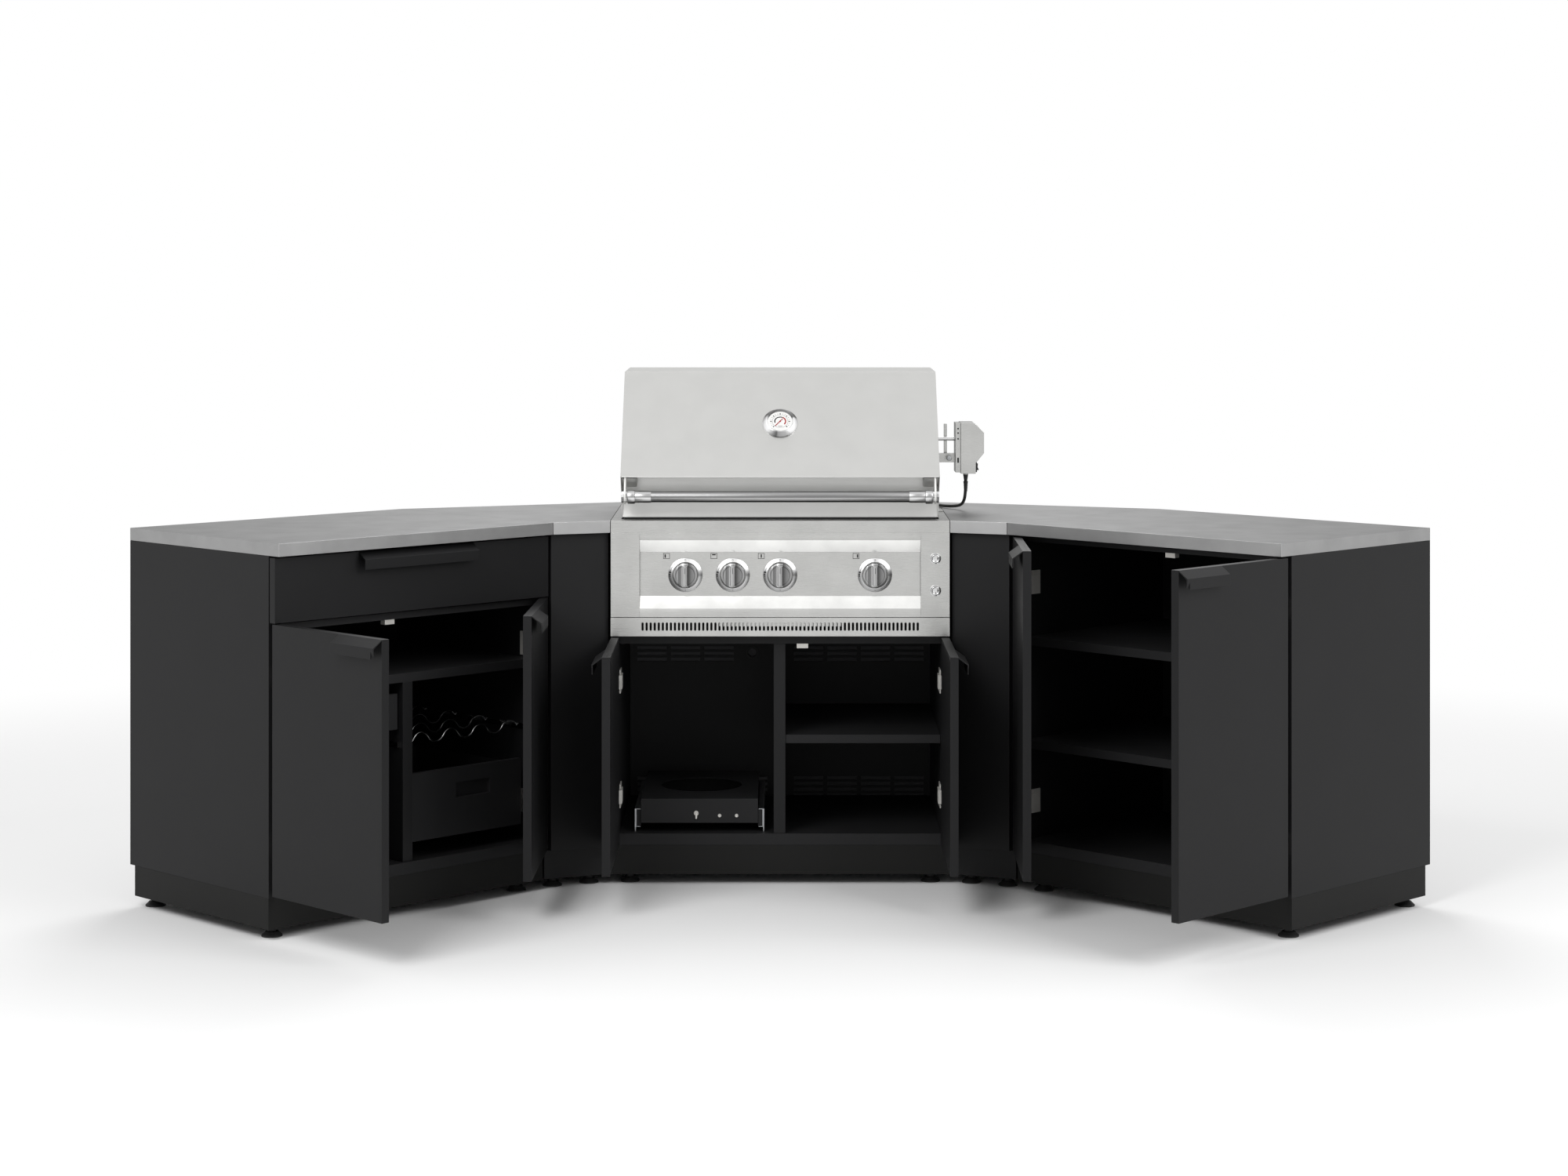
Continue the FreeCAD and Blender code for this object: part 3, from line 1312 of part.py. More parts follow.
motor_outline = [
    (m, axle_z + 42.6), (m + 33, axle_z + 42.6), (m + 41.5, axle_z + 36), (m + 59, axle_z + 17.7),
    (m + 59, axle_z - 34.2), (m + 38, axle_z - 60), (m + 38, case_low), (m, case_low),
]
motor_case = cut(
    prism("XZ", motor_outline, sz.motor_depth, 0, sy + motor_half, 0),
    rod("x", sz.spit_radius + 2.5, motor_x - 1, sy, s_z, sz.spit_end - sz.motor_left + 2),
)
cord_x = m + 15
gland = turned([(4, 0), (7, 20), (9, 20), (9, 22), (0, 22), (0, 0)], "z", cord_x, sy, case_low - 22)
switch_x = motor_x + 38
switch_z = axle_z - 72
switch_frame = cut(
    block(switch_x, switch_x + 5, sy - 15, sy + 15, switch_z - 13, switch_z + 12),
    block(switch_x - 1, switch_x + 6, sy - 10.5, sy + 10.5, switch_z - 10.5, switch_z + 10.5),
)
node("rotisserie_motor", group(motor_case, gland, switch_frame))
sx = number(switch_x)
rocker = prism("XZ", [
    (-1.5, -8.5), (-3, 0), (-1.5, 8.5), (4.5, 8), (2.5, 0), (4.5, -8),
], 20)
ROCKER_TILT = 8
rocker.Placement = Placement(Vector(sx + 4.5, number(sy) + 10, switch_z), Rotation(Vector(0, 1, 0), -ROCKER_TILT))
for axis in "xyz":
    rocker.setExpression(f"Placement.Base.{axis}", None)
rocker_pin = rod("y", 2, sx + 4.5, sy - 10.2, switch_z, 20.4)
node("switch_rocker", fuse(rocker, rocker_pin))


# Cord: a free stretch of straight runs joined by arcs, a put-away coil with its tie, and a plug

cord_r = number(sz.cord_radius)
# The route was laid by hand around these three places, and moves with them
LAID_TOP = 902
LAID_MOTOR = 459
LAID_SPIT_Y = 300
LAID_BACK = 602
CORD_POINTS = [
    (474, 300, 978.2), (474, 301, 942), (467, 325, 916), (448, 362, 909.6), (424, 400, 907.4), (410, 444, 906.6),
    (407, 500, 906.8), (409, 550, 908.5), (408, 588, 916), (408.5, 628, 903), (410, 641, 860),
    (408, 637, 780), (410, 634, 680), (408, 636, 580), (410, 634, 480), (408, 637, 380), (410, 635, 280),
    (409.5, 634, 190), (408, 636, 112),
]


def laid(x, y, z):
    """A point of the route, moved with the worktop's height, the motor and the island's back."""
    along = min(1, (y - LAID_SPIT_Y) / (LAID_BACK - LAID_SPIT_Y))
    up = min(1, z / LAID_TOP)
    return (
        x + m - LAID_MOTOR,
        y + along * (number(sz.cab_depth) - LAID_BACK),
        z + up * (number(top) - LAID_TOP),
    )


def rounded_path(points):
    """Straight runs joined by tangent arcs, each as large as its two runs allow."""
    spots = [Vector(*p) for p in points]
    edges = []
    start = spots[0]
    for before, here, after in zip(spots, spots[1:], spots[2:]):
        into = (here - before).normalize()
        out = (after - here).normalize()
        turn = into.getAngle(out)
        run = min((here - before).Length, (after - here).Length)
        radius = 0.45 * run / math.tan(turn / 2)
        reach_back = 0.45 * run
        arc_start = here - into * reach_back
        arc_end = here + out * reach_back
        inward = (out - into).normalize()
        middle = here + inward * (radius / math.cos(turn / 2) - radius)
        edges.append(Part.LineSegment(start, arc_start).toShape())
        edges.append(Part.Arc(arc_start, middle, arc_end).toShape())
        print(f"cord bend radius {radius:.0f} turn {math.degrees(turn):.1f} run {run:.0f}")
        start = arc_end
    edges.append(Part.LineSegment(start, spots[-1]).toShape())
    return Part.Wire(edges)


def tube(path, radius):
    first = path.Edges[0]
    circle = Part.makeCircle(radius, first.valueAt(first.FirstParameter), first.tangentAt(first.FirstParameter))
    shape = path.makePipeShell([Part.Wire(circle)], True, False)
    expected = math.pi * radius * radius * path.Length
    print(f"tube length {path.Length:.0f} volume ratio {shape.Volume / expected:.4f}")
    return shape


def feature(name, shape):
    thing = doc.addObject("Part::Feature", name)
    thing.Shape = shape
    return thing


# The last run is turned straight down, so that the coil starts square to it
COIL_DROP = 32
coil_x, coil_y = laid(376, 636, 0)[:2]
FLOOR_CLEAR = 0.2
COIL_RADIUS = 44
COIL_TURNS = 2
COIL_PITCH = 2 * cord_r + 2
TAIL_RISE = 4
TAIL_RADIUS = 60
cord_z = cord_r + FLOOR_CLEAR
cord_d = 2 * cord_r
coil_top = Vector(coil_x + COIL_DROP, coil_y, cord_z + COIL_DROP + cord_d)
free_points = [laid(*point) for point in CORD_POINTS] + [(coil_top.x, coil_top.y, coil_top.z)]


def coil_path():
    """Down out of the free stretch, round a quarter bend, then half turns that each grow by half a pitch."""
    edges = []
    here = coil_top
    drop_end = here - Vector(0, 0, cord_d)
    edges.append(Part.LineSegment(here, drop_end).toShape())
    floor_start = Vector(coil_x, coil_y, cord_z)
    root_half = math.sqrt(0.5)
    middle = Vector(coil_x + COIL_DROP * root_half, coil_y, cord_z + COIL_DROP * (1 - root_half))
    edges.append(Part.Arc(drop_end, middle, floor_start).toShape())
    here = floor_start
    side = 1
    for half in range(2 * COIL_TURNS):
        radius = COIL_RADIUS + half * COIL_PITCH / 2
        centre = here + Vector(0, side * radius, 0)
        middle = centre + Vector(-side * radius, 0, 0)
        end = centre + Vector(0, side * radius, 0)
        edges.append(Part.Arc(here, middle, end).toShape())
        here = end
        side = -side
    lift = math.acos(1 - TAIL_RISE / (2 * TAIL_RADIUS))
    half_angle = lift / 2
    first_end = here + Vector(-TAIL_RADIUS * math.sin(lift), 0, TAIL_RADIUS * (1 - math.cos(lift)))
    first_mid = here + Vector(-TAIL_RADIUS * math.sin(half_angle), 0, TAIL_RADIUS * (1 - math.cos(half_angle)))
    edges.append(Part.Arc(here, first_mid, first_end).toShape())
    top_end = Vector(here.x - 2 * TAIL_RADIUS * math.sin(lift), here.y, here.z + TAIL_RISE)
    second_mid = top_end + Vector(TAIL_RADIUS * math.sin(half_angle), 0, -TAIL_RADIUS * (1 - math.cos(half_angle)))
    edges.append(Part.Arc(first_end, second_mid, top_end).toShape())
    tail_end = top_end - Vector(cord_d, 0, 0)
    edges.append(Part.LineSegment(top_end, tail_end).toShape())
    return Part.Wire(edges), tail_end


def least_gap(path, radius):
    """The least distance between parts of the tube more than three diameters apart along it."""
    length = path.Length
    points = path.discretize(Number=400)
    skip = int(6 * radius / length * 400) + 1
    least = min(
        (points[i] - points[j]).Length for i in range(len(points)) for j in range(i + skip, len(points)))
    return least - 2 * radius


free_path = rounded_path(free_points)
node("motor_cord", feature("MotorCord", tube(free_path, cord_r)))
spiral, tail_end = coil_path()
node("cord_coil", feature("CordCoil", tube(spiral, cord_r)))
print(f"coil gap {least_gap(spiral, cord_r):.2f} length {spiral.Length:.0f}")

# The tie is a strap over the two turns on the coil's far side
far_y = coil_y + 2 * COIL_RADIUS
tie_y0 = far_y - cord_r - 1.8
tie_y1 = far_y + COIL_PITCH + cord_r + 1.8
tie = cut(
    block(coil_x - 3, coil_x + 3, tie_y0, tie_y1, 0, cord_d + 2),
    block(coil_x - 4, coil_x + 4, tie_y0 + 1.4, tie_y1 - 1.4, -1, cord_d + 0.6),
)
node("cord_tie", tie)

PLUG_LONG = 34
plug_x1 = tail_end.x
plug_z = tail_end.z
plug_body = block(plug_x1 - PLUG_LONG, plug_x1, tail_end.y - 12.5, tail_end.y + 12.5, plug_z - 7.8, plug_z + 7.8)
blades = [
    block(plug_x1 - PLUG_LONG - 17, plug_x1 - PLUG_LONG, tail_end.y + dy - 0.8, tail_end.y + dy + 0.8,
          plug_z - 3.2, plug_z + 3.2)
    for dy in (-6.35, 6.35)
]
node("power_plug", fuse(plug_body, *blades))


# Checks, origin and files

doc.recompute()
for thing in doc.Objects:
    if "Invalid" in thing.State or "Error" in thing.State:
        raise RuntimeError(f"{thing.Name} ({thing.Label}) failed")
for name, thing in nodes.items():
    if thing.Shape.isNull() or not thing.Shape.isValid():
        raise RuntimeError(f"{name} has a bad shape")
    if not thing.Shape.Solids:
        raise RuntimeError(f"{name} has no solid")

CORD_NODES = ("motor_cord", "cord_coil", "cord_tie", "power_plug")
low_y = min(thing.Shape.BoundBox.YMin for name, thing in nodes.items() if name not in CORD_NODES)
high_y = max(thing.Shape.BoundBox.YMax for name, thing in nodes.items() if name not in CORD_NODES)
shift = Vector(0, -(low_y + high_y) / 2, 0)
print(f"shift y {shift.y:.4f}")
os.makedirs("parts", exist_ok=True)
for name, thing in nodes.items():
    thing.Placement = Placement(shift, Rotation()).multiply(thing.Placement)
    shape = thing.Shape
    shape.exportStep(f"parts/{name}.step")
    print(name, len(shape.Solids), [round(n, 1) for n in (
        shape.BoundBox.XMin, shape.BoundBox.XMax, shape.BoundBox.YMin, shape.BoundBox.YMax,
        shape.BoundBox.ZMin, shape.BoundBox.ZMax)])
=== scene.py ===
import json
import math

import bmesh
import bpy
from mathutils import Matrix, Vector

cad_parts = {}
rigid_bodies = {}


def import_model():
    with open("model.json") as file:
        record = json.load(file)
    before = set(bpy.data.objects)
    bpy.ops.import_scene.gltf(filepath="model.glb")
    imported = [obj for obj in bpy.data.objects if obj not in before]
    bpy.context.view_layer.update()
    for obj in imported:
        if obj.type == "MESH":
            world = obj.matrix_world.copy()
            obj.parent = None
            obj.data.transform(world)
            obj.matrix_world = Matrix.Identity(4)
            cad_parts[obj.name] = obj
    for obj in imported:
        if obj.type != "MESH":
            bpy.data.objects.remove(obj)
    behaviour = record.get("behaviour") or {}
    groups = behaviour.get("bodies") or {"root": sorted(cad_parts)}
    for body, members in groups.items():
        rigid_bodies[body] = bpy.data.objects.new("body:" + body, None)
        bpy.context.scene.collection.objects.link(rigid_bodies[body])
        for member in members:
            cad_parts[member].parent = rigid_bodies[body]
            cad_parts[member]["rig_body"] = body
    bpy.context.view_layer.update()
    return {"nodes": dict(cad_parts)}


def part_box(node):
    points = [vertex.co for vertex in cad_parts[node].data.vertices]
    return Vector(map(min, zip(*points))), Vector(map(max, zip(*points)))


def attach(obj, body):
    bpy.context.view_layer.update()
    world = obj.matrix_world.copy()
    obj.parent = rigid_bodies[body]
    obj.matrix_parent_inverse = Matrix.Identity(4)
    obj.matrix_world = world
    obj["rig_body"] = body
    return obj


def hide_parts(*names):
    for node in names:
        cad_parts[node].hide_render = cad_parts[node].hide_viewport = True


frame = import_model()
nodes = frame["nodes"]
print("frame loaded:", len(nodes), "nodes")

mm = 0.001


# A colour picked on screen, as the shader wants it
def toLinear(hexColour):
    parts = [int(hexColour[i:i + 2], 16) / 255 for i in (1, 3, 5)]
    return [p / 12.92 if p <= 0.04045 else ((p + 0.055) / 1.055) ** 2.4 for p in parts] + [1.0]


# Camera where the photographer stood: level, in front of the grill, shifted down instead of tilted
photo = {"wide": 2000, "high": 1500, "eyeX": 995.1, "eyeY": 344.1, "focal": 3879, "film": 36.0}
cameraData = bpy.data.cameras.new("photoCamera")
cameraData.sensor_width = photo["film"]
cameraData.lens = photo["focal"] / photo["wide"] * photo["film"]
cameraData.shift_x = (photo["wide"] / 2 - photo["eyeX"]) / photo["wide"]
cameraData.shift_y = (photo["eyeY"] - photo["high"] / 2) / photo["wide"]
cameraData.clip_end = 60
camera = bpy.data.objects.new("photoCamera", cameraData)
camera.location = (0, -7.3175, 1.5184)
camera.rotation_euler = (math.radians(90), 0, 0)
bpy.context.scene.collection.objects.link(camera)
bpy.context.scene.camera = camera
bpy.context.scene.view_settings.view_transform = "Standard"
print("camera placed")

# Materials


def addNode(tree, kind, links=None, **settings):
    made = tree.nodes.new(kind)
    for key, value in settings.items():
        if hasattr(made, key):
            setattr(made, key, value)
        else:
            made.inputs[key.replace("_", " ")].default_value = value
    for socket, source in (links or {}).items():
        tree.links.new(source, made.inputs[socket])
    return made


def newMaterial(name, colour, metallic, roughness, **sockets):
    material = bpy.data.materials.new(name)
    material.use_nodes = True
    shader = material.node_tree.nodes["Principled BSDF"]
    shader.inputs["Base Color"].default_value = toLinear(colour)
    shader.inputs["Metallic"].default_value = metallic
    shader.inputs["Roughness"].default_value = roughness
    for key, value in sockets.items():
        shader.inputs[key.replace("_", " ")].default_value = value
    return material, material.node_tree, shader


# The base colour, darker and lighter along with a pattern
def toneBy(tree, shader, source, colour, dark, light, span=(0.0, 1.0)):
    ramp = addNode(tree, "ShaderNodeValToRGB", {"Fac": source})
    for element, position, scale in zip(ramp.color_ramp.elements, span, (dark, light)):
        element.position = position
        element.color = [min(1, c * scale) for c in toLinear(colour)[:3]] + [1]
    tree.links.new(ramp.outputs["Color"], shader.inputs["Base Color"])


# The roughness between two values along with a pattern
def glossBy(tree, shader, source, low, high):
    rough = addNode(tree, "ShaderNodeMapRange", {"Value": source}, To_Min=low, To_Max=high)
    tree.links.new(rough.outputs["Result"], shader.inputs["Roughness"])


# A fine relief along with a pattern
def bumpBy(tree, shader, source, strength, distance):
    bump = addNode(tree, "ShaderNodeBump", {"Height": source}, Strength=strength, Distance=distance)
    tree.links.new(bump.outputs["Normal"], shader.inputs["Normal"])


# Stainless sheet, belt brushed: long fine scratches along one way, which blur reflections across them
def brushedSteel(name, colour, roughness, turn=0.0, mottle=0.06, streak=0.10, scratch=0.35, edge="#ffffff"):
    material, tree, shader = newMaterial(name, colour, 1.0, roughness, Specular_Tint=toLinear(edge))
    place = addNode(tree, "ShaderNodeTexCoord")
    spun = addNode(tree, "ShaderNodeMapping", {"Vector": place.outputs["Object"]})
    spun.inputs["Rotation"].default_value = (0, 0, math.radians(-turn))
    grain = addNode(tree, "ShaderNodeMapping", {"Vector": spun.outputs["Vector"]})
    # Scratches are 60 to 100 mm long and drawn 1.2 mm apart, coarser than real so that they show
    grain.inputs["Scale"].default_value = (12, 850, 850)
    lines = addNode(tree, "ShaderNodeTexNoise", {"Vector": grain.outputs["Vector"]}, Scale=1.0, Detail=3.0)
    cloud = addNode(tree, "ShaderNodeTexNoise", {"Vector": spun.outputs["Vector"]}, Scale=14.0, Detail=5.0)
    both = addNode(tree, "ShaderNodeMath", {0: lines.outputs["Fac"]}, operation="MULTIPLY_ADD")
    both.inputs[1].default_value = streak
    tree.links.new(cloud.outputs["Fac"], both.inputs[2])
    toneBy(tree, shader, both.outputs[0], colour, 1 - mottle, 1 + mottle, (0.3 + streak / 2, 0.7 + streak / 2))
    glossBy(tree, shader, lines.outputs["Fac"], roughness * 0.8, roughness * 1.25)
    bumpBy(tree, shader, lines.outputs["Fac"], scratch, 0.00006)
    return material


# Baked powder coat: an even satin skin with a fine orange peel, a little dustier where the cloud is high
def powderCoat(name, colour, roughness):
    material, tree, shader = newMaterial(name, colour, 0.0, roughness, IOR=1.3)
    place = addNode(tree, "ShaderNodeTexCoord")
    peel = addNode(tree, "ShaderNodeTexNoise", {"Vector": place.outputs["Object"]}, Scale=650.0, Detail=3.0)
    cloud = addNode(tree, "ShaderNodeTexNoise", {"Vector": place.outputs["Object"]}, Scale=7.0, Detail=4.0)
    toneBy(tree, shader, cloud.outputs["Fac"], colour, 0.93, 1.08, (0.3, 0.7))
    glossBy(tree, shader, peel.outputs["Fac"], roughness - 0.05, roughness + 0.07)
    bumpBy(tree, shader, peel.outputs["Fac"], 0.25, 0.0001)
    return material


# Buffed or plated metal: nearly even, with faint swirls in the gloss
def buffedMetal(name, colour, roughness, metallic=1.0):
    material, tree, shader = newMaterial(name, colour, metallic, roughness)
    place = addNode(tree, "ShaderNodeTexCoord")
    swirl = addNode(tree, "ShaderNodeTexNoise", {"Vector": place.outputs["Object"]}, Scale=90.0, Detail=6.0)
    glossBy(tree, shader, swirl.outputs["Fac"], roughness * 0.6, roughness * 1.5)
    toneBy(tree, shader, swirl.outputs["Fac"], colour, 0.94, 1.05)
    return material


# Moulded plastic and rubber: matt, with a fine spark-eroded grain from the mould
def moulded(name, colour, roughness, grit=900.0, depth=0.2):
    material, tree, shader = newMaterial(name, colour, 0.0, roughness)
    place = addNode(tree, "ShaderNodeTexCoord")
    grain = addNode(tree, "ShaderNodeTexNoise", {"Vector": place.outputs["Object"]}, Scale=grit, Detail=2.0)
    toneBy(tree, shader, grain.outputs["Fac"], colour, 0.85, 1.15)
    bumpBy(tree, shader, grain.outputs["Fac"], depth, 0.00008)
    return material


cabinetCoat = powderCoat("satin black powder coat", "#131314", 0.48)
insideCoat = powderCoat("inside powder coat", "#1a1a1b", 0.55)
plinthCoat = powderCoat("plinth powder coat", "#0e0e0d", 0.55)
# Grey coat for the sheets that stand in for shade behind the back vents
shadeScreenCoat = powderCoat("shade screen powder coat", "#4a4a4c", 0.6)
topSteelLeft, topSteelRight, topSteelLeftCorner, topSteelRightCorner = [
    brushedSteel(f"worktop stainless, {where}", "#a6a6a6", 0.42, turn=turn, edge="#8e8e8e")
    for where, turn in (("left wing", 45), ("right wing", -45), ("left corner", 22.5), ("right corner", -22.5))]
grillSteel = brushedSteel("brushed grill stainless", "#bcbcba", 0.28, mottle=0.05, edge="#a8a8a8")
# Near-white steel for the knob panel's slopes, a painted highlight
slopeHighlightSteel = brushedSteel("slope stainless, painted highlight", "#f0f0ee", 0.18, mottle=0.09, streak=0.04)
hoodSteel = brushedSteel("fine brushed hood stainless", "#cacac8", 0.34, mottle=0.02, scratch=0.2, edge="#8a8a8a")
polishedSteel = buffedMetal("buffed stainless", "#d2d2d2", 0.16)
# Dull nickel: half of it scatters, so it stays bright inside the black cabinets
nickelPlate = buffedMetal("nickel plated steel", "#cfcdc8", 0.42, 0.55)
zincPlate = buffedMetal("zinc plated steel", "#a9abad", 0.34)
chromePlate = buffedMetal("chrome plated wire", "#8e8e8e", 0.16)
footRubber = moulded("foot rubber", "#141414", 0.7)
cableRubber = moulded("cable sheath", "#0d0d0d", 0.45, grit=500.0)
casePlastic = moulded("black ABS", "#101010", 0.4)


# A tone along a ramp for the base colour
def fillRamp(tree, shader, source, stops):
    ramp = addNode(tree, "ShaderNodeValToRGB", {"Fac": source})
    points = ramp.color_ramp.elements
    points[0].position, points[0].color = stops[0][0], toLinear(stops[0][1])
    points[1].position, points[1].color = stops[-1][0], toLinear(stops[-1][1])
    for position, colour in stops[1:-1]:
        points.new(position).color = toLinear(colour)
    tree.links.new(ramp.outputs["Color"], shader.inputs["Base Color"])


# Stainless turned on a lathe: fine rings round the piece's own axis, with bright and dark sectors of painted
# highlight and shade in the base colour by angle
def lathedSteel(name, sectors, roughness, centre, pitch=None, tilt=0.0):
    material, tree, shader = newMaterial(name, sectors[0][1], 1.0, roughness)
    place = addNode(tree, "ShaderNodeTexCoord")
    moved = addNode(tree, "ShaderNodeMapping", {"Vector": place.outputs["Object"]}, vector_type="TEXTURE")
    moved.inputs["Location"].default_value = centre
    moved.inputs["Rotation"].default_value = (math.radians(tilt), 0, 0)
    parts = addNode(tree, "ShaderNodeSeparateXYZ", {"Vector": moved.outputs["Vector"]})
    across = parts.outputs["X"]
    if pitch:
        wrapped = addNode(tree, "ShaderNodeMath", {0: across}, operation="WRAP")
        wrapped.inputs[1].default_value = pitch / 2
        wrapped.inputs[2].default_value = -pitch / 2
        across = wrapped.outputs[0]
    flat = addNode(tree, "ShaderNodeCombineXYZ", {"X": across, "Z": parts.outputs["Z"]})
    radius = addNode(tree, "ShaderNodeVectorMath", {0: flat.outputs["Vector"]}, operation="LENGTH")
    # The painted highlight and shade sectors, counted from the left round by the bottom
    turn = addNode(tree, "ShaderNodeMath", {0: parts.outputs["Z"], 1: across}, operation="ARCTAN2")
    share = addNode(tree, "ShaderNodeMapRange", {"Value": turn.outputs[0]}, From_Min=-math.pi, From_Max=math.pi)
    fillRamp(tree, shader, share.outputs["Result"], sectors)
    # Tool marks stand 0.5 mm apart, a little coarser than real so that they show
    rings = addNode(tree, "ShaderNodeTexNoise", {"W": radius.outputs["Value"]}, noise_dimensions="1D", Scale=2000.0,
                    Detail=2.0)
    bumpBy(tree, shader, rings.outputs["Fac"], 0.5, 0.00012)
    glossBy(tree, shader, rings.outputs["Fac"], roughness * 0.8, roughness * 1.3)
    return material


# Steel polished one way, with long bands of painted highlight and shade across an axis that stand for its reflections
def bandedSteel(name, bands, roughness, low, high, axis="Z", pitch=None):
    material, tree, shader = newMaterial(name, bands[0][1], 1.0, roughness)
    place = addNode(tree, "ShaderNodeTexCoord")
    parts = addNode(tree, "ShaderNodeSeparateXYZ", {"Vector": place.outputs["Object"]})
    along = parts.outputs[axis]
    if pitch:
        wrapped = addNode(tree, "ShaderNodeMath", {0: along}, operation="WRAP")
        wrapped.inputs[1].default_value = pitch / 2
        wrapped.inputs[2].default_value = -pitch / 2
        along = wrapped.outputs[0]
    share = addNode(tree, "ShaderNodeMapRange", {"Value": along}, From_Min=low, From_Max=high)
    fillRamp(tree, shader, share.outputs["Result"], bands)
    drawn = addNode(tree, "ShaderNodeMapping", {"Vector": place.outputs["Object"]})
    drawn.inputs["Scale"].default_value = (6, 1500, 1500) if axis == "Z" else (1500, 1500, 6)
    marks = addNode(tree, "ShaderNodeTexNoise", {"Vector": drawn.outputs["Vector"]}, Scale=1.0, Detail=2.0)
    glossBy(tree, shader, marks.outputs["Fac"], roughness * 0.7, roughness * 1.4)
    return material


# Baked enamel print: flat colour with a faint worn tone
def enamel(name, colour, roughness=0.7):
    material, tree, shader = newMaterial(name, colour, 0.0, roughness, IOR=1.3)
    place = addNode(tree, "ShaderNodeTexCoord")
    worn = addNode(tree, "ShaderNodeTexNoise", {"Vector": place.outputs["Object"]}, Scale=300.0, Detail=3.0)
    toneBy(tree, shader, worn.outputs["Fac"], colour, 0.92, 1.06)
    return material


rowShift = 0.1534572
# Painted highlight and shade sectors round the bezels and the gauge rim
bezelPaintedSheenSectors = [(0.0, "#b0b0b0"), (0.1, "#c2c2c2"), (0.25, "#c6c6c6"), (0.4, "#d8d8d8"), (0.48, "#c0c0c0"),
                (0.5, "#868686"), (0.54, "#b0b0b0"), (0.6, "#eeeeee"), (0.66, "#f0f0f0"), (0.72, "#c6c6c6"),
                (0.79, "#bcbcbc"), (0.86, "#e4e4e4"), (0.92, "#eeeeee"), (0.97, "#b4b4b4"), (1.0, "#b0b0b0")]
gaugePaintedSheenSectors = [(0.0, "#f0f0f0"), (0.11, "#f0f0f0"), (0.153, "#bababa"), (0.189, "#808080"), (0.211, "#5c5c5c"),
                (0.231, "#989898"), (0.306, "#b0b0b0"), (0.361, "#e4e4e4"), (0.472, "#f0f0f0"), (0.533, "#ececec"),
                (0.556, "#707070"), (0.667, "#989898"), (0.75, "#808080"), (0.917, "#747474"), (0.958, "#d4d4d4"),
                (1.0, "#f0f0f0")]
# Painted highlight and shade bands across each knob, with the shadow beside the grip painted dark
knobPaintedShadeBands = [(0.0, "#c4c4c4"), (0.09, "#868686"), (0.17, "#a6a6a6"), (0.22, "#6c6c6c"), (0.33, "#868686"),
             (0.385, "#d4d4d4"), (0.45, "#b8b8b8"), (0.555, "#989898"), (0.6, "#b0b0b0"), (0.62, "#565656"),
             (0.68, "#626262"), (0.76, "#7c7c7c"), (0.87, "#8a8a8a"), (1.0, "#a4a4a4")]
bezelSteel = lathedSteel("lathed bezel stainless, painted sheen", bezelPaintedSheenSectors, 0.36, (0, rowShift, 0.7675), pitch=0.1166)
gaugeSteel = lathedSteel("lathed gauge stainless, painted sheen", gaugePaintedSheenSectors, 0.36, (0, 0.136 + rowShift, 1.134), tilt=-40.6)
knobSteel = bandedSteel("polished knob stainless, painted shade", knobPaintedShadeBands, 0.3, -0.029, 0.029, "X", 0.1166)
blackPrint = enamel("black enamel print", "#0c0c0c")
redPrint = enamel("red enamel print", "#9c1a1e")
dialPrint = enamel("white dial enamel", "#e4e4e2")
# Painted highlight and shade bands across the handle tube and its ends, by height
tubePaintedSheenBands = [(0.0, "#484848"), (0.14, "#5c5c5c"), (0.24, "#b0b0b0"), (0.42, "#b4b4b4"), (0.48, "#747474"),
             (0.7, "#7c7c7c"), (0.78, "#9a9a9a"), (1.0, "#a2a2a2")]
tubeSteel = bandedSteel("drawn handle tube stainless, painted sheen", tubePaintedSheenBands, 0.36, 0.9454, 0.9726)
endPaintedSheenBands = [(0.0, "#6a6a6a"), (0.14, "#8a8a8a"), (0.26, "#d8d8d8"), (0.44, "#e4e4e4"), (0.5, "#989898"),
            (0.72, "#a6a6a6"), (0.8, "#d0d0d0"), (1.0, "#c0c0c0")]
endSteel = bandedSteel("polished ferrule stainless, painted sheen", endPaintedSheenBands, 0.3, 0.943, 0.975)
# The gussets and handle brackets stay in the hood's shade; their steel is painted lighter than the hood's and left
# rough, so that they show mid grey there
gussetLightenedSteel = buffedMetal("shade-lightened stainless", "#d4d4d2", 0.6)
print("front finishes made")

finishOf = {
    cabinetCoat: ["side_panels", "corner_panels", "left_outer_door", "left_inner_door", "right_outer_door",
                  "right_inner_door", "grill_left_door", "grill_right_door", "top_drawer", "dividers"],
    insideCoat: ["top_rails", "floor_panels", "back_panels", "shelves", "bin_drawer",
                 "small_drawer", "gas_bottle_tray"],
    plinthCoat: ["plinths"],
    topSteelLeft: ["left_worktop"],
    topSteelRight: ["right_worktop"],
    topSteelLeftCorner: ["left_corner_worktop"],
    topSteelRightCorner: ["right_corner_worktop"],
    grillSteel: ["deck_frame", "control_panel", "vent_strip", "spit_brackets", "firebox", "drip_tray",
                 "warming_rack", "rotisserie_motor"],
    hoodSteel: ["hood"],
    polishedSteel: ["hood_handle", "thermometer", "knob_bezels", "burner_knob_1", "burner_knob_2", "burner_knob_3",
                    "burner_knob_4", "upper_button", "lower_button", "spit_rod", "cooking_grates", "burners"],
    nickelPlate: ["hinge_arms", "catches_and_clips"],
    zincPlate: ["slide_rails", "hood_pivots", "gas_manifold", "knob_stem_1", "knob_stem_2", "knob_stem_3",
                "knob_stem_4"],
    chromePlate: ["bottle_rack"],
    footRubber: ["levelling_feet", "hose_grommet", "cord_tie"],
    cableRubber: ["motor_cord", "cord_coil"],
    casePlastic: ["switch_rocker", "power_plug"],
}
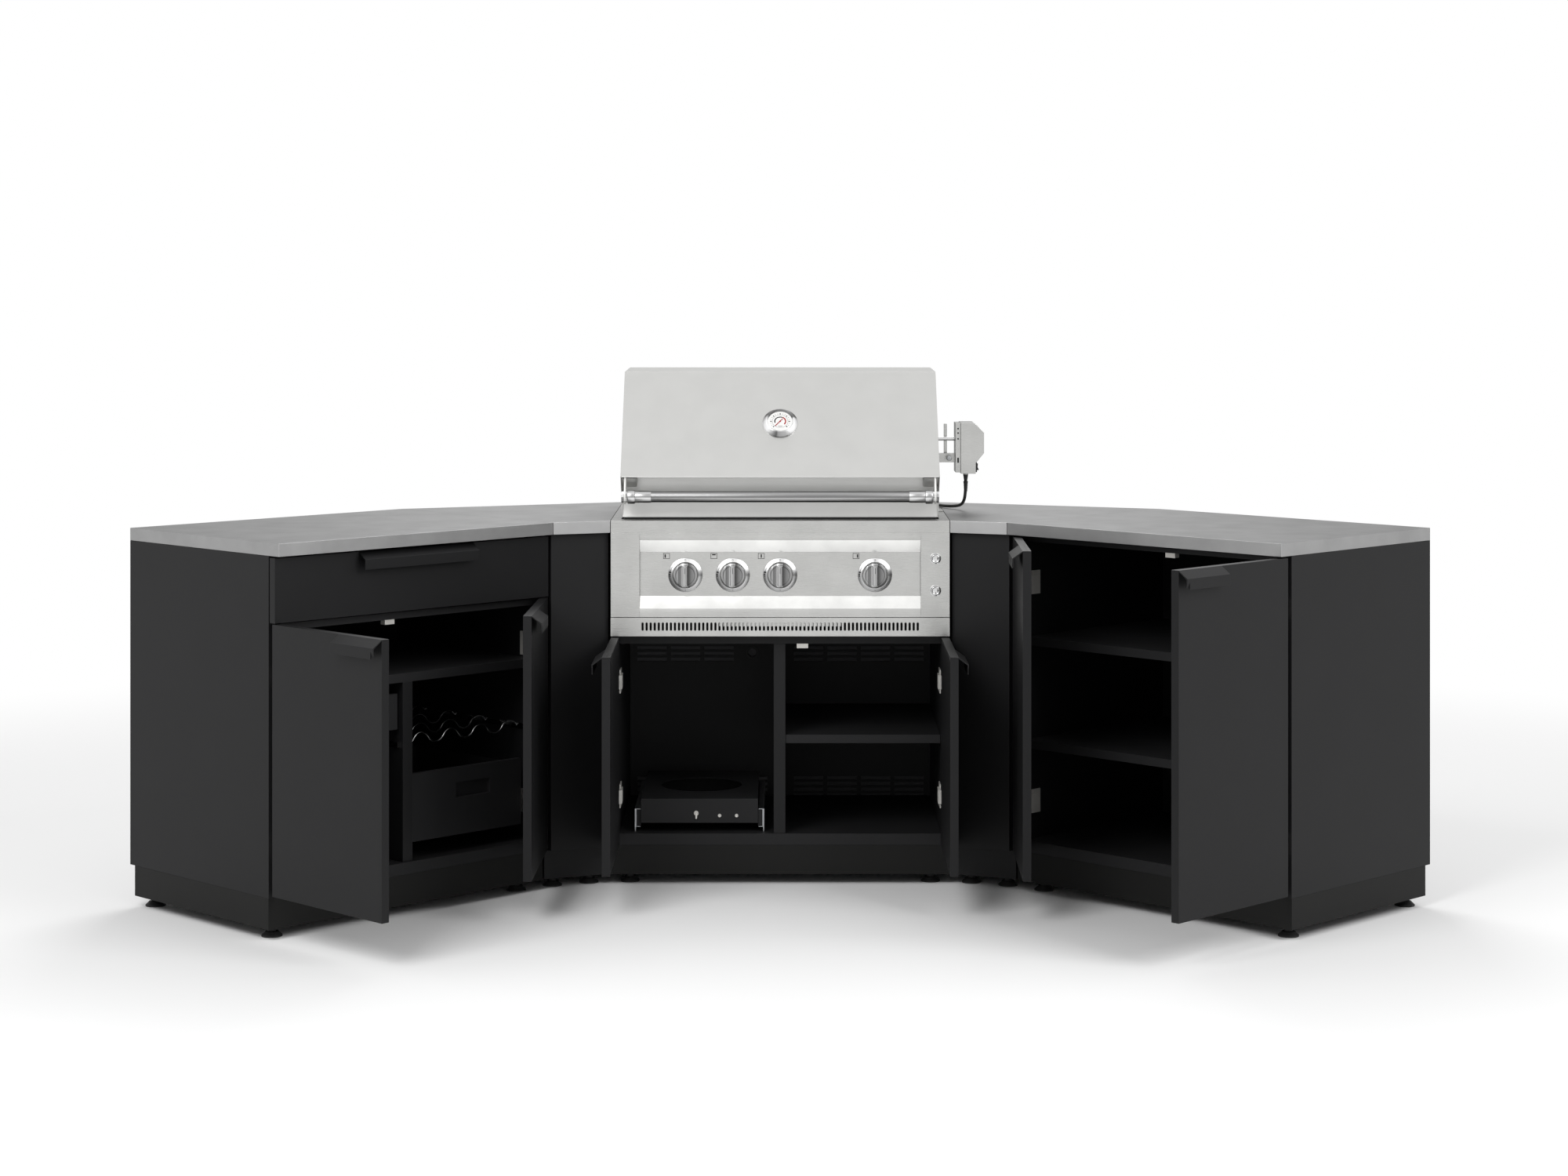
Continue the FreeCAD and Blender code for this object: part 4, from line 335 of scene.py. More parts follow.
for finish, names in finishOf.items():
    for name in names:
        slots = nodes[name].data.materials
        slots.clear()
        slots.append(finish)
print("frame nodes finished")

# Modelling helpers


def deselectAll():
    if bpy.context.object and bpy.context.object.mode != "OBJECT":
        bpy.ops.object.mode_set(mode="OBJECT")
    bpy.ops.object.select_all(action="DESELECT")


def makeActive(piece):
    deselectAll()
    piece.select_set(True)
    bpy.context.view_layer.objects.active = piece


def editOn(piece):
    makeActive(piece)
    bpy.ops.object.mode_set(mode="EDIT")


def editOff():
    bpy.ops.object.mode_set(mode="OBJECT")


# Selects the faces whose middle and normal pass the test
def pickFaces(piece, test):
    bpy.ops.mesh.select_mode(type="FACE")
    bpy.ops.mesh.select_all(action="DESELECT")
    mesh = bmesh.from_edit_mesh(piece.data)
    for face in mesh.faces:
        face.select_set(test(face.calc_center_median(), face.normal))
    bmesh.update_edit_mesh(piece.data)


def applyModifiers(piece):
    makeActive(piece)
    for modifier in list(piece.modifiers):
        bpy.ops.object.modifier_apply(modifier=modifier.name)


# Puts a finished piece's place into its mesh, gives it finish, body and slot
def finishPiece(piece, name, finish, body="frame", replaced=(), smooth=35):
    makeActive(piece)
    if piece.type != "MESH":
        bpy.ops.object.convert(target="MESH")
        piece = bpy.context.object
    bpy.ops.object.transform_apply(location=True, rotation=True, scale=True)
    piece.name = name
    piece.data.name = name
    piece.data.materials.clear()
    for each in (finish if isinstance(finish, (list, tuple)) else [finish]):
        piece.data.materials.append(each)
    bpy.ops.object.shade_smooth_by_angle(angle=math.radians(smooth))
    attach(piece, body)
    if replaced:
        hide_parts(*replaced)
    return piece


def roundEdges(piece, wide, steps=2, angle=30):
    modifier = piece.modifiers.new("roundedEdges", "BEVEL")
    modifier.width = wide
    modifier.segments = steps
    modifier.limit_method = "ANGLE"
    modifier.angle_limit = math.radians(angle)
    modifier.harden_normals = False
    applyModifiers(piece)


# Flat faces stay flat in the light, and only the rounded rims turn
def flattenNormals(piece):
    modifier = piece.modifiers.new("flatFaces", "WEIGHTED_NORMAL")
    modifier.keep_sharp = True
    modifier.weight = 80
    applyModifiers(piece)


def addBlock(x0, x1, y0, y1, z0, z1):
    deselectAll()
    bpy.ops.mesh.primitive_cube_add(size=1, location=((x0 + x1) / 2, (y0 + y1) / 2, (z0 + z1) / 2),
                                    scale=(x1 - x0, y1 - y0, z1 - z0))
    bpy.ops.object.transform_apply(location=True, rotation=False, scale=True)
    return bpy.context.object


def addRod(radius, start, end, sides=32):
    deselectAll()
    a, b = Vector(start), Vector(end)
    bpy.ops.mesh.primitive_cylinder_add(vertices=sides, radius=radius, depth=(b - a).length, location=(a + b) / 2,
                                        rotation=(b - a).to_track_quat("Z", "Y").to_euler())
    bpy.ops.object.transform_apply(location=True, rotation=True, scale=True)
    return bpy.context.object


def joinPieces(pieces):
    makeActive(pieces[0])
    for piece in pieces[1:]:
        piece.select_set(True)
    bpy.ops.object.join()
    return bpy.context.object


# A new piece, open for editing, that holds one line through the points, or one face inside them
def drawOutline(points, filled=False):
    deselectAll()
    bpy.ops.mesh.primitive_plane_add(size=0.01)
    piece = bpy.context.object
    editOn(piece)
    bpy.ops.mesh.delete(type="VERT")
    mesh = bmesh.from_edit_mesh(piece.data)
    line = [mesh.verts.new(point) for point in points]
    if filled:
        mesh.faces.new(line)
    else:
        for first, second in zip(line, line[1:]):
            mesh.edges.new((first, second))
    bmesh.update_edit_mesh(piece.data)
    bpy.ops.mesh.select_all(action="SELECT")
    return piece


# A turned part: the half profile (radius, height) is drawn once and spun about the axis through its foot
def turnedPart(profile, at, towards=(0, 0, 1), steps=48):
    piece = drawOutline([(r, 0, h) for r, h in profile])
    bpy.ops.mesh.spin(steps=steps, angle=math.tau, center=(0, 0, 0), axis=(0, 0, 1))
    bpy.ops.mesh.select_all(action="SELECT")
    bpy.ops.mesh.remove_doubles(threshold=0.00001)
    bpy.ops.mesh.normals_make_consistent(inside=False)
    editOff()
    spun = Vector(towards).to_track_quat("Z", "Y").to_matrix().to_4x4()
    piece.data.transform(Matrix.Translation(at) @ spun)
    return piece


# A countersunk screw head with a turned rim
def screwHead(x, y, z, radius, towards=(0, -1, 0)):
    r = radius
    return turnedPart([(0, 0), (r, 0), (r, 0.3 * r), (0.82 * r, 0.5 * r), (0.55 * r, 0.5 * r), (0.42 * r, 0.3 * r),
                       (0, 0.3 * r)], (x * mm, y * mm, z * mm), towards, steps=24)


# The faces of a frame mesh, solid by solid: a solid ends where none of its edges is left open
def solidRuns(mesh):
    runs, current, openEdges = [], [], set()
    places = [tuple(round(c * 100000) for c in vertex.co) for vertex in mesh.vertices]
    for face in mesh.polygons:
        current.append(face.index)
        ring = [places[v] for v in face.vertices]
        for start, end in zip(ring, ring[1:] + ring[:1]):
            if (end, start) in openEdges:
                openEdges.remove((end, start))
            elif start != end:
                openEdges.add((start, end))
        if not openEdges:
            runs.append(current)
            current = []
    return runs


# Folded sheet parts keep the frame's form: each solid is copied and merged, its flat faces are made
# whole again, and its folds and rims are rounded as a brake press leaves them
def foldedCopy(nodeName, wide, steps=2, finish=None, angle=30):
    source = nodes[nodeName].data
    solids = []
    for run in solidRuns(source):
        used = sorted({v for f in run for v in source.polygons[f].vertices})
        place = {v: i for i, v in enumerate(used)}
        mesh = bpy.data.meshes.new(nodeName)
        mesh.from_pydata([source.vertices[v].co for v in used], [],
                         [[place[v] for v in source.polygons[f].vertices] for f in run])
        solid = bpy.data.objects.new(nodeName, mesh)
        bpy.context.scene.collection.objects.link(solid)
        editOn(solid)
        bpy.ops.mesh.select_all(action="SELECT")
        bpy.ops.mesh.remove_doubles(threshold=0.00001)
        bpy.ops.mesh.dissolve_limited(angle_limit=math.radians(0.2))
        editOff()
        roundEdges(solid, wide, steps, angle)
        solids.append(solid)
    piece = joinPieces(solids)
    finish = finish or source.materials[0]
    piece = finishPiece(piece, nodeName + "_formed", finish, nodes[nodeName]["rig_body"], [nodeName],
                        smooth=50)
    flattenNormals(piece)
    return piece


print("helpers ready")

# Motor lead: out of the motor's underside, over the worktop and down the back, and its end coiled on the floor
lead = {
    "diameter": 0.008, "length": 1.99, "exit": (0.474, 0.300, 0.9782), "floorClear": 0.0002, "coilAt": (0.376, 0.636),
    "bend": 0.032, "coilRadius": 0.044, "coilTurns": 2, "coilPitch": 0.010, "tailRise": 0.004, "tailLong": 0.0307,
}
leadRoute = [
    (0.474, 0.300, 0.9782), (0.474, 0.301, 0.942), (0.467, 0.325, 0.916), (0.448, 0.362, 0.9096),
    (0.424, 0.400, 0.9074), (0.410, 0.444, 0.9066), (0.407, 0.500, 0.9068), (0.409, 0.550, 0.9085),
    (0.408, 0.588, 0.916), (0.4085, 0.628, 0.903), (0.410, 0.641, 0.860), (0.408, 0.637, 0.780),
    (0.410, 0.634, 0.680), (0.408, 0.636, 0.580), (0.410, 0.634, 0.480), (0.408, 0.637, 0.380),
    (0.410, 0.635, 0.280), (0.4095, 0.634, 0.190), (0.408, 0.636, 0.112),
]
leadZ = lead["diameter"] / 2 + lead["floorClear"]
coilX, coilY = lead["coilAt"]


# Control points round an arc, a little outside it, so that the spline runs on the arc itself
def arcPoints(middle, radius, start, sweep, upright=False, count=8):
    step = math.radians(sweep) / count
    reach = radius / math.cos(step / 2)
    made = []
    for i in range(count):
        turn = math.radians(start) + step * (i + 0.5)
        across, along = reach * math.cos(turn), reach * math.sin(turn)
        made.append(middle + (Vector((across, 0, along)) if upright else Vector((across, along, 0))))
    return made


points = [Vector(p) for p in leadRoute]
here = Vector((coilX + lead["bend"], coilY, leadZ + lead["bend"] + lead["diameter"]))
points.append(here)
points += arcPoints(Vector((coilX, coilY, leadZ + lead["bend"])), lead["bend"], 0, -90, True, 4)
here = Vector((coilX, coilY, leadZ))
side = 1
for half in range(2 * lead["coilTurns"]):
    radius = lead["coilRadius"] + half * lead["coilPitch"] / 2
    middle = here + Vector((0, side * radius, 0))
    points += arcPoints(middle, radius, -90 * side, -180)
    here = middle + Vector((0, side * radius, 0))
    side = -side
rise = Vector((0, 0, lead["tailRise"]))
points.append(here - Vector((lead["tailLong"] * 0.25, 0, 0)))
points.append(here - Vector((lead["tailLong"] * 0.75, 0, 0)) + rise)
leadEnd = here - Vector((lead["tailLong"] + lead["diameter"], 0, 0)) + rise
points.append(leadEnd)

leadCurve = bpy.data.curves.new("motorLead", "CURVE")
leadCurve.dimensions = "3D"
leadSpline = leadCurve.splines.new("NURBS")
leadSpline.points.add(len(points) - 1)
for spot, point in zip(leadSpline.points, points):
    spot.co = (point.x, point.y + rowShift, point.z, 1)
leadSpline.order_u = 3
leadSpline.use_endpoint_u = True
leadSpline.resolution_u = 6
leadCurve.bevel_depth = lead["diameter"] / 2
leadCurve.bevel_resolution = 4
leadCurve.use_fill_caps = True
leadCurve.materials.append(cableRubber)
motorLead = bpy.data.objects.new("motorLead", leadCurve)
bpy.context.scene.collection.objects.link(motorLead)
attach(motorLead, "frame")
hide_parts("motor_cord", "cord_coil")

# Strain relief: a tapered sleeve with ribs, moulded onto the lead
relief = {"long": 0.026, "wide": 0.0056, "narrow": 0.0045, "ribs": 3, "first": 0.005, "pitch": 0.0052,
          "rib": 0.003, "groove": 0.0006}
profile = [(0.001, 0), (relief["wide"] + 0.0004, 0), (relief["wide"] + 0.0004, 0.0022), (relief["wide"], 0.0034)]
for rib in range(relief["ribs"]):
    start = relief["first"] + rib * relief["pitch"]
    wide = relief["wide"] - (relief["wide"] - relief["narrow"]) * start / relief["long"]
    slim = wide - relief["groove"]
    profile += [(wide, start), (wide, start + relief["rib"]), (slim, start + 0.0034), (slim, start + 0.0048)]
profile += [(relief["narrow"], relief["long"] - relief["rib"]), (relief["narrow"] - 0.0004, relief["long"]),
            (0.001, relief["long"])]
exitAt = Vector(lead["exit"]) + Vector((0, rowShift, 0))
sleeve = turnedPart(profile, exitAt, (0, 0.02, -1), steps=28)
finishPiece(sleeve, "strain_relief", cableRubber, smooth=40)

# Plug: a moulded body that narrows to a ribbed grip, with two flat blades
plug = {"long": 0.034, "halfWide": 0.0125, "halfHigh": 0.0078, "bladeLong": 0.017, "bladeApart": 0.0127,
        "blade": (0.0008, 0.0032), "shoulder": 0.017, "neck": 0.009, "ribs": 4, "waist": 0.86}
endX, endY, endZ = leadEnd.x, leadEnd.y + rowShift, leadEnd.z
body = addBlock(endX - plug["long"], endX, endY - plug["halfWide"], endY + plug["halfWide"], endZ - plug["halfHigh"],
                endZ + plug["halfHigh"])
editOn(body)
pickFaces(body, lambda c, n: n.x > 0.9)
bpy.ops.transform.translate(value=(-plug["shoulder"], 0, 0))
bpy.ops.mesh.extrude_region_move(TRANSFORM_OT_translate={"value": (plug["neck"], 0, 0)})
bpy.ops.transform.resize(value=(1, 0.52, 0.74), center_override=(endX, endY, endZ))
for _ in range(plug["ribs"]):
    for long, narrow in ((0.0008, plug["waist"]), (0.0012, 1 / plug["waist"])):
        bpy.ops.mesh.extrude_region_move(TRANSFORM_OT_translate={"value": (long, 0, 0)})
        bpy.ops.transform.resize(value=(1, narrow, narrow), center_override=(endX, endY, endZ))
editOff()
roundEdges(body, 0.0007, 2, 25)
finishPiece(body, "plug_body", cableRubber, replaced=["power_plug"], smooth=40)
blades = []
thin, high = plug["blade"]
for side in (-1, 1):
    bladeY = endY + side * plug["bladeApart"] / 2
    blades.append(addBlock(endX - plug["long"] - plug["bladeLong"], endX - plug["long"] + 0.0005, bladeY - thin,
                           bladeY + thin, endZ - high, endZ + high))
blade = joinPieces(blades)
roundEdges(blade, 0.0004, 2, 25)
finishPiece(blade, "plug_blades", nickelPlate)
tie = foldedCopy("cord_tie", 0.0004)
print("lead laid:", len(points), "points")

# Sheet metal of the cabinets, worktops and grill, each with the rounding of its real rims and folds in metres
foldRadius = {
    "left_worktop": 0.0022, "right_worktop": 0.0022, "left_corner_worktop": 0.0022, "right_corner_worktop": 0.0022,
    "side_panels": 0.0005, "corner_panels": 0.0005, "plinths": 0.0005, "floor_panels": 0.0005,
    "top_rails": 0.0005, "shelves": 0.0005, "dividers": 0.0005, "left_outer_door": 0.0005,
    "left_inner_door": 0.0005, "right_outer_door": 0.0005, "right_inner_door": 0.0005,
    "grill_left_door": 0.0005, "grill_right_door": 0.0005, "top_drawer": 0.0005,
    "bin_drawer": 0.0005, "small_drawer": 0.0005, "gas_bottle_tray": 0.0004, "deck_frame": 0.0005,
    "control_panel": 0.0004, "hood": 0.0004, "slide_rails": 0.0003, "spit_brackets": 0.0005,
    "vent_strip": 0.0003,
}
formed = {name: foldedCopy(name, radius) for name, radius in foldRadius.items()}

# The slopes above and below the knob panel carry a painted highlight: a near-white steel, brighter than the panel
# between them
panel = formed["control_panel"]
panel.data.materials.append(slopeHighlightSteel)
for face in panel.data.polygons:
    if 0.12 < abs(face.normal.z) < 0.97 and face.normal.y < 0:
        face.material_index = 1
print("sheet metal formed:", len(foldRadius))

# Front of the grill
front = {"faceY": rowShift + 0.012, "knobZ": 0.7675, "pitch": 0.1166, "places": (-2, -1, 0, 2)}
bezelSize = {"inner": 0.0315, "outer": 0.042, "rise": 0.0052, "rim": 0.002}
knobSize = {"radius": 0.030, "backY": rowShift + 0.008, "gripHalf": 0.0072, "gripLong": 0.0265,
            "gripFront": rowShift - 0.024, "taper": 0.72}


# Height of the bezel's sloping face over the panel at a radius
def bezelRise(radius):
    share = (bezelSize["outer"] - radius) / (bezelSize["outer"] - bezelSize["inner"] - 0.0015)
    return bezelSize["rim"] + min(1, max(0, share)) * (bezelSize["rise"] - bezelSize["rim"])


def makeBezel(x, number):
    b = bezelSize
    profile = [(b["inner"], 0), (b["outer"] - 0.0006, 0), (b["outer"], 0.0006), (b["outer"], b["rim"] - 0.0004),
               (b["outer"] - 0.0005, b["rim"] + 0.0002), (b["inner"] + 0.0017, b["rise"] - 0.0002),
               (b["inner"] + 0.0009, b["rise"]), (b["inner"], b["rise"] - 0.0008), (b["inner"], 0)]
    ring = turnedPart(profile, (x, front["faceY"], front["knobZ"]), (0, -1, 0), steps=72)
    return finishPiece(ring, f"bezel_{number}", bezelSteel, smooth=40)


# A printed stroke on the bezel's slope: a short radial edge is spun part of the way round
def bezelStroke(x, startAngle, sweep, inner, outer, endInner=None, endOuter=None, steps=24):
    piece = drawOutline([(r, 0, 0) for r in (inner, outer)])
    bpy.ops.mesh.spin(steps=steps, angle=math.radians(sweep), center=(0, 0, 0), axis=(0, 0, 1))
    editOff()
    endInner = inner if endInner is None else endInner
    endOuter = outer if endOuter is None else endOuter
    for vertex in piece.data.vertices:
        angle = math.atan2(vertex.co.y, vertex.co.x) % math.tau
        share = min(1, angle / math.radians(sweep))
        near = vertex.co.length < (inner + outer) / 2
        r = inner + share * (endInner - inner) if near else outer + share * (endOuter - outer)
        turn = angle + math.radians(startAngle)
        vertex.co = (x + r * math.cos(turn), front["faceY"] - bezelRise(r) - 0.0001,
                     front["knobZ"] + r * math.sin(turn))
    return piece


def bezelDot(x, angle, radius, size, hole=0.0):
    at = (x + radius * math.cos(math.radians(angle)), front["faceY"] - bezelRise(radius) - 0.0003,
          front["knobZ"] + radius * math.sin(math.radians(angle)))
    slope = Vector((math.cos(math.radians(angle)) * 0.6, -1, math.sin(math.radians(angle)) * 0.6)).normalized()
    profile = [(hole, 0), (size, 0), (size, 0.0004), (hole, 0.0004)]
    if hole:
        profile.append((hole, 0))
    return turnedPart(profile, at, slope, steps=20)


def makeBezelMarks(x, number):
    arc = bezelStroke(x, 186, 70, 0.0362, 0.0402, 0.0372, 0.0380)
    strokes = [
        arc,
        bezelDot(x, 270, 0.0372, 0.0009),
        bezelDot(x, 135, 0.0372, 0.0009),
        bezelDot(x, 90, 0.0368, 0.0022, 0.0016),
        bezelStroke(x, 172, 5, 0.0352, 0.0404),
        bezelStroke(x, 180, 4, 0.0366, 0.0404),
    ]
    marks = joinPieces(strokes)
    return finishPiece(marks, f"bezel_marks_{number}", blackPrint)


def makeKnob(x, number):
    k = knobSize
    disc = turnedPart(
        [(0, 0), (k["radius"] - 0.001, 0), (k["radius"], 0.001), (k["radius"], 0.0085), (0.0288, 0.0108),
         (0.0262, 0.0118), (0.024, 0.0118), (0.0228, 0.0108), (0, 0.0108)],
        (x, k["backY"], front["knobZ"]), (0, -1, 0), steps=72)
    grip = addBlock(x - k["gripHalf"], x + k["gripHalf"], k["gripFront"], k["backY"] - 0.006,
                    front["knobZ"] - k["gripLong"], front["knobZ"] + k["gripLong"])
    editOn(grip)
    pickFaces(grip, lambda c, n: n.y < -0.9)
    bpy.ops.transform.resize(value=(k["taper"], 1, 0.93), center_override=(x, k["gripFront"], front["knobZ"]))
    bpy.ops.mesh.inset(thickness=0.0018)
    bpy.ops.transform.translate(value=(0, 0.0004, 0))
    editOff()
    roundEdges(grip, 0.0013, 3, 25)
    pointer = addBlock(x - 0.0005, x + 0.0005, k["gripFront"] - 0.00005, k["gripFront"] + 0.001,
                       front["knobZ"] + 0.006, front["knobZ"] + 0.020)
    pointer.data.materials.append(blackPrint)
    body = joinPieces([disc, grip])
    knob = finishPiece(body, f"knob_{number}", knobSteel, f"burner_knob_{number}",
                       [f"burner_knob_{number}"], smooth=35)
    flattenNormals(knob)
    finishPiece(pointer, f"knob_pointer_{number}", blackPrint, f"burner_knob_{number}")


for number, place in enumerate(front["places"], start=1):
    knobX = place * front["pitch"]
    bezel = makeBezel(knobX, number)
    if number == 1:
        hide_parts("knob_bezels")
    makeBezelMarks(knobX, number)
    makeKnob(knobX, number)
print("knobs turned")

# Icon beside each knob: an outlined field with a bar where that burner lies
icon = {"half": 0.0080, "halfHigh": 0.0070, "line": 0.0011, "thick": 0.0002, "aside": -0.0345, "above": 0.0475}
bars = [(-0.0048, -0.0015), (-0.0045, 0.0045), (-0.0015, 0.0015), (0.0020, 0.0052)]


def makeIcon(x, number):
    cx = x + icon["aside"] - 0.012
    cz = front["knobZ"] + icon["above"] - 0.001
    y1 = front["faceY"]
    frameMark = addBlock(cx - icon["half"], cx + icon["half"], y1 - icon["thick"], y1, cz - icon["halfHigh"],
                         cz + icon["halfHigh"])
    editOn(frameMark)
    pickFaces(frameMark, lambda c, n: abs(n.y) > 0.9)
    bpy.ops.mesh.inset(thickness=icon["line"])
    bpy.ops.mesh.bridge_edge_loops()
    editOff()
    low, high = bars[number - 1]
    zLow, zHigh = (-0.0042, 0.0042) if number != 2 else (0.0018, 0.0046)
    bar = addBlock(cx + low, cx + high, y1 - icon["thick"], y1, cz + zLow, cz + zHigh)
    mark = joinPieces([frameMark, bar])
    finishPiece(mark, f"icon_{number}", blackPrint)


for number, place in enumerate(front["places"], start=1):
    makeIcon(place * front["pitch"], number)

# Push buttons: a bright rim round a dished cap
button = {"radius": 0.0105, "x": 0.3815, "frontY": rowShift - 0.006, "long": 0.023}
for word, z in (("upper", 0.809), ("lower", 0.730)):
    r, face = button["radius"], button["long"]
    cap = turnedPart(
        [(0, 0), (r, 0), (r, face - 0.0018), (r - 0.0006, face - 0.0004), (r - 0.0016, face),
         (r - 0.0026, face - 0.0004), (r - 0.0034, face - 0.0016), (r - 0.0052, face - 0.0012), (0, face - 0.0003)],
        (button["x"], button["frontY"] + button["long"], z), (0, -1, 0), steps=48)
    finishPiece(cap, f"{word}_button_cap", polishedSteel, f"{word}_button",
                [f"{word}_button"], smooth=45)
    collar = turnedPart([(r + 0.0006, 0), (r + 0.0034, 0), (r + 0.003, 0.0011), (r + 0.0010, 0.0016),
                         (r + 0.0006, 0.001), (r + 0.0006, 0)],
                        (button["x"], rowShift, z), (0, -1, 0), steps=48)
    finishPiece(collar, f"{word}_button_collar", polishedSteel, smooth=45)
print("icons and buttons placed")

# Thermometer: lathed bezel, white dial with ticks, a black to red band and a red needle
gauge = {"at": Vector((0, 0.136 + rowShift, 1.134)), "radius": 0.044, "dial": 0.0305, "dialAt": 0.0085}
gaugeOut = Vector((0, -252, 216)).normalized()
gaugeUp = Vector((0, 216, 252)).normalized()
gaugeSide = Vector((1, 0, 0))


def onDial(radius, angle, lift=0.0):
    turn = math.radians(angle)
    flat = gaugeSide * (radius * math.cos(turn)) + gaugeUp * (radius * math.sin(turn))
    return gauge["at"] + flat + gaugeOut * (gauge["dialAt"] + lift)


def dialStrip(startAngle, endAngle, inner, outer, lift, steps=20):
    deselectAll()
    bpy.ops.mesh.primitive_grid_add(x_subdivisions=steps, y_subdivisions=1, size=1)
    piece = bpy.context.object
    for vertex in piece.data.vertices:
        share = vertex.co.x + 0.5
        r = outer if vertex.co.y > 0 else inner
        vertex.co = onDial(r, startAngle + share * (endAngle - startAngle), lift)
    return piece


g = gauge["radius"]
ring = turnedPart(
    [(0.02, 0.0002), (g - 0.0008, 0.0002), (g, 0.001), (g, 0.0028), (g - 0.0008, 0.0038), (g - 0.0078, 0.0122),
     (g - 0.0092, 0.0130), (g - 0.0108, 0.0128), (g - 0.0128, 0.0092), (g - 0.0135, 0.0085), (0.02, 0.0085)],
    gauge["at"], gaugeOut, steps=96)
finishPiece(ring, "gauge_bezel", gaugeSteel, "hood", ["thermometer"], smooth=45)
dial = turnedPart([(0, 0.0084), (gauge["dial"], 0.0084), (gauge["dial"], 0.0087), (0, 0.0087)], gauge["at"],
                  gaugeOut, steps=64)
finishPiece(dial, "gauge_dial", dialPrint, "hood")
ticks = [dialStrip(a - 1.0, a + 1.0, 0.0222, 0.0250, 0.0003, 2) for a in range(-45, 226, 15)]
ticks += [dialStrip(a - 3.0, a + 3.0, 0.0212, 0.0250, 0.0003, 2) for a in range(-45, 226, 45)]
ticks.append(dialStrip(62, 200, 0.0120, 0.0148, 0.0003, 30))
ticks.append(dialStrip(0, 360, 0.0194, 0.0199, 0.0003, 64))
ticks.append(dialStrip(250, 290, 0.0150, 0.0162, 0.0003, 8))
finishPiece(joinPieces(ticks), "gauge_marks", blackPrint, "hood")
hot = dialStrip(62, -42, 0.0120, 0.0152, 0.0003, 30)
finishPiece(hot, "gauge_hot_band", redPrint, "hood")
needle = addRod(0.0009, onDial(0.0095, 50, 0.0012), onDial(0.0185, 230, 0.0012), 10)
hub = turnedPart([(0, 0), (0.0022, 0), (0.0018, 0.0014), (0, 0.0017)], onDial(0, 0, 0.0003), gaugeOut, steps=24)
finishPiece(joinPieces([needle, hub]), "gauge_needle", redPrint, "hood")
print("thermometer made")

# Hood handle: a drawn tube with ferrules, collars and hexagon ends, all with painted bands of highlight and shade, on
# brackets that stand on gussets in the shade under the hood's lip. Places are the frame's own, in millimetres
handle = {"y": 22 + rowShift / mm, "z": 959.0, "lipY": 28 + rowShift / mm, "lipZ": 1008.0, "tube": 13.6,
          "ferrule": 14.6, "collar": 17.2, "hex": 15.4, "tubeEnd": 318.0, "ferruleEnd": 357.5,
          "collarEnd": 376.5, "hexEnd": 391.0, "tuck": 2, "plateIn": 380, "plateOut": 384.5, "gussetIn": 355.5, "gussetBack": 250.5}


# A flat outline of (y, z) points in millimetres, drawn once and pulled out along X
def addPlate(outline, x0, x1):
    piece = drawOutline([(x0 * mm, y * mm, z * mm) for y, z in outline], filled=True)
    bpy.ops.mesh.extrude_region_move(TRANSFORM_OT_translate={"value": ((x1 - x0) * mm, 0, 0)})
    bpy.ops.mesh.select_all(action="SELECT")
    bpy.ops.mesh.normals_make_consistent(inside=False)
    editOff()
    return piece


# A turned piece along X with eased rims
def addBarPiece(radius, x0, x1, ease, steps=48):
    long = abs(x1 - x0)
    profile = [(0, 0), (radius - ease, 0), (radius - ease * 0.3, ease * 0.3), (radius, ease), (radius, long - ease),
               (radius - ease * 0.3, long - ease * 0.3), (radius - ease, long), (0, long)]
    return turnedPart([(r * mm, h * mm) for r, h in profile],
                      (min(x0, x1) * mm, handle["y"] * mm, handle["z"] * mm), (1, 0, 0), steps)


reach = handle["tubeEnd"] + handle["tuck"]
finishPiece(addBarPiece(handle["tube"], -reach, reach, 0.6, 64), "handle_tube", tubeSteel, "hood",
            ["hood_handle"])
brightParts = []
for side in (-1, 1):
    brightParts.append(addBarPiece(handle["ferrule"], side * handle["tubeEnd"], side * handle["ferruleEnd"], 0.8))
    brightParts.append(addBarPiece(handle["collar"], side * handle["ferruleEnd"], side * handle["collarEnd"], 2.2))
    brightParts.append(addBarPiece(handle["hex"], side * handle["collarEnd"], side * handle["hexEnd"], 0.8, 6))
finishPiece(joinPieces(brightParts), "handle_ends", endSteel, "hood", smooth=25)

plates = []
for side in (-1, 1):
    y, z = handle["y"], handle["z"]
    outline = [(y - 17, z - 9), (y - 9, z - 17), (y + 9, z - 17.5), (y + 19, z - 8), (y + 38, handle["lipZ"] - 4),
               (handle["lipY"], handle["lipZ"] - 2.5), (y - 4, handle["lipZ"] - 14), (y - 17, z + 9)]
    bracket = addPlate(outline, side * handle["plateIn"], side * handle["plateOut"])
    roundEdges(bracket, 0.0008)
    plates.append(bracket)
finishPiece(joinPieces(plates), "handle_brackets", gussetLightenedSteel, "hood")

gussets = []
for side in (-1, 1):
    lipY, lipZ = handle["lipY"], handle["lipZ"]
    back, foot = handle["gussetBack"], z + 21.5
    outline = [(lipY + 5, lipZ - 4), (back, lipZ - 7.5), (back, foot), (y + 40, foot)]
    gusset = addPlate(outline, side * handle["gussetIn"], side * handle["hexEnd"])
    roundEdges(gusset, 0.0012)
    gussets.append(gusset)
finishPiece(joinPieces(gussets), "handle_gussets", gussetLightenedSteel, "hood")
print("handle made")

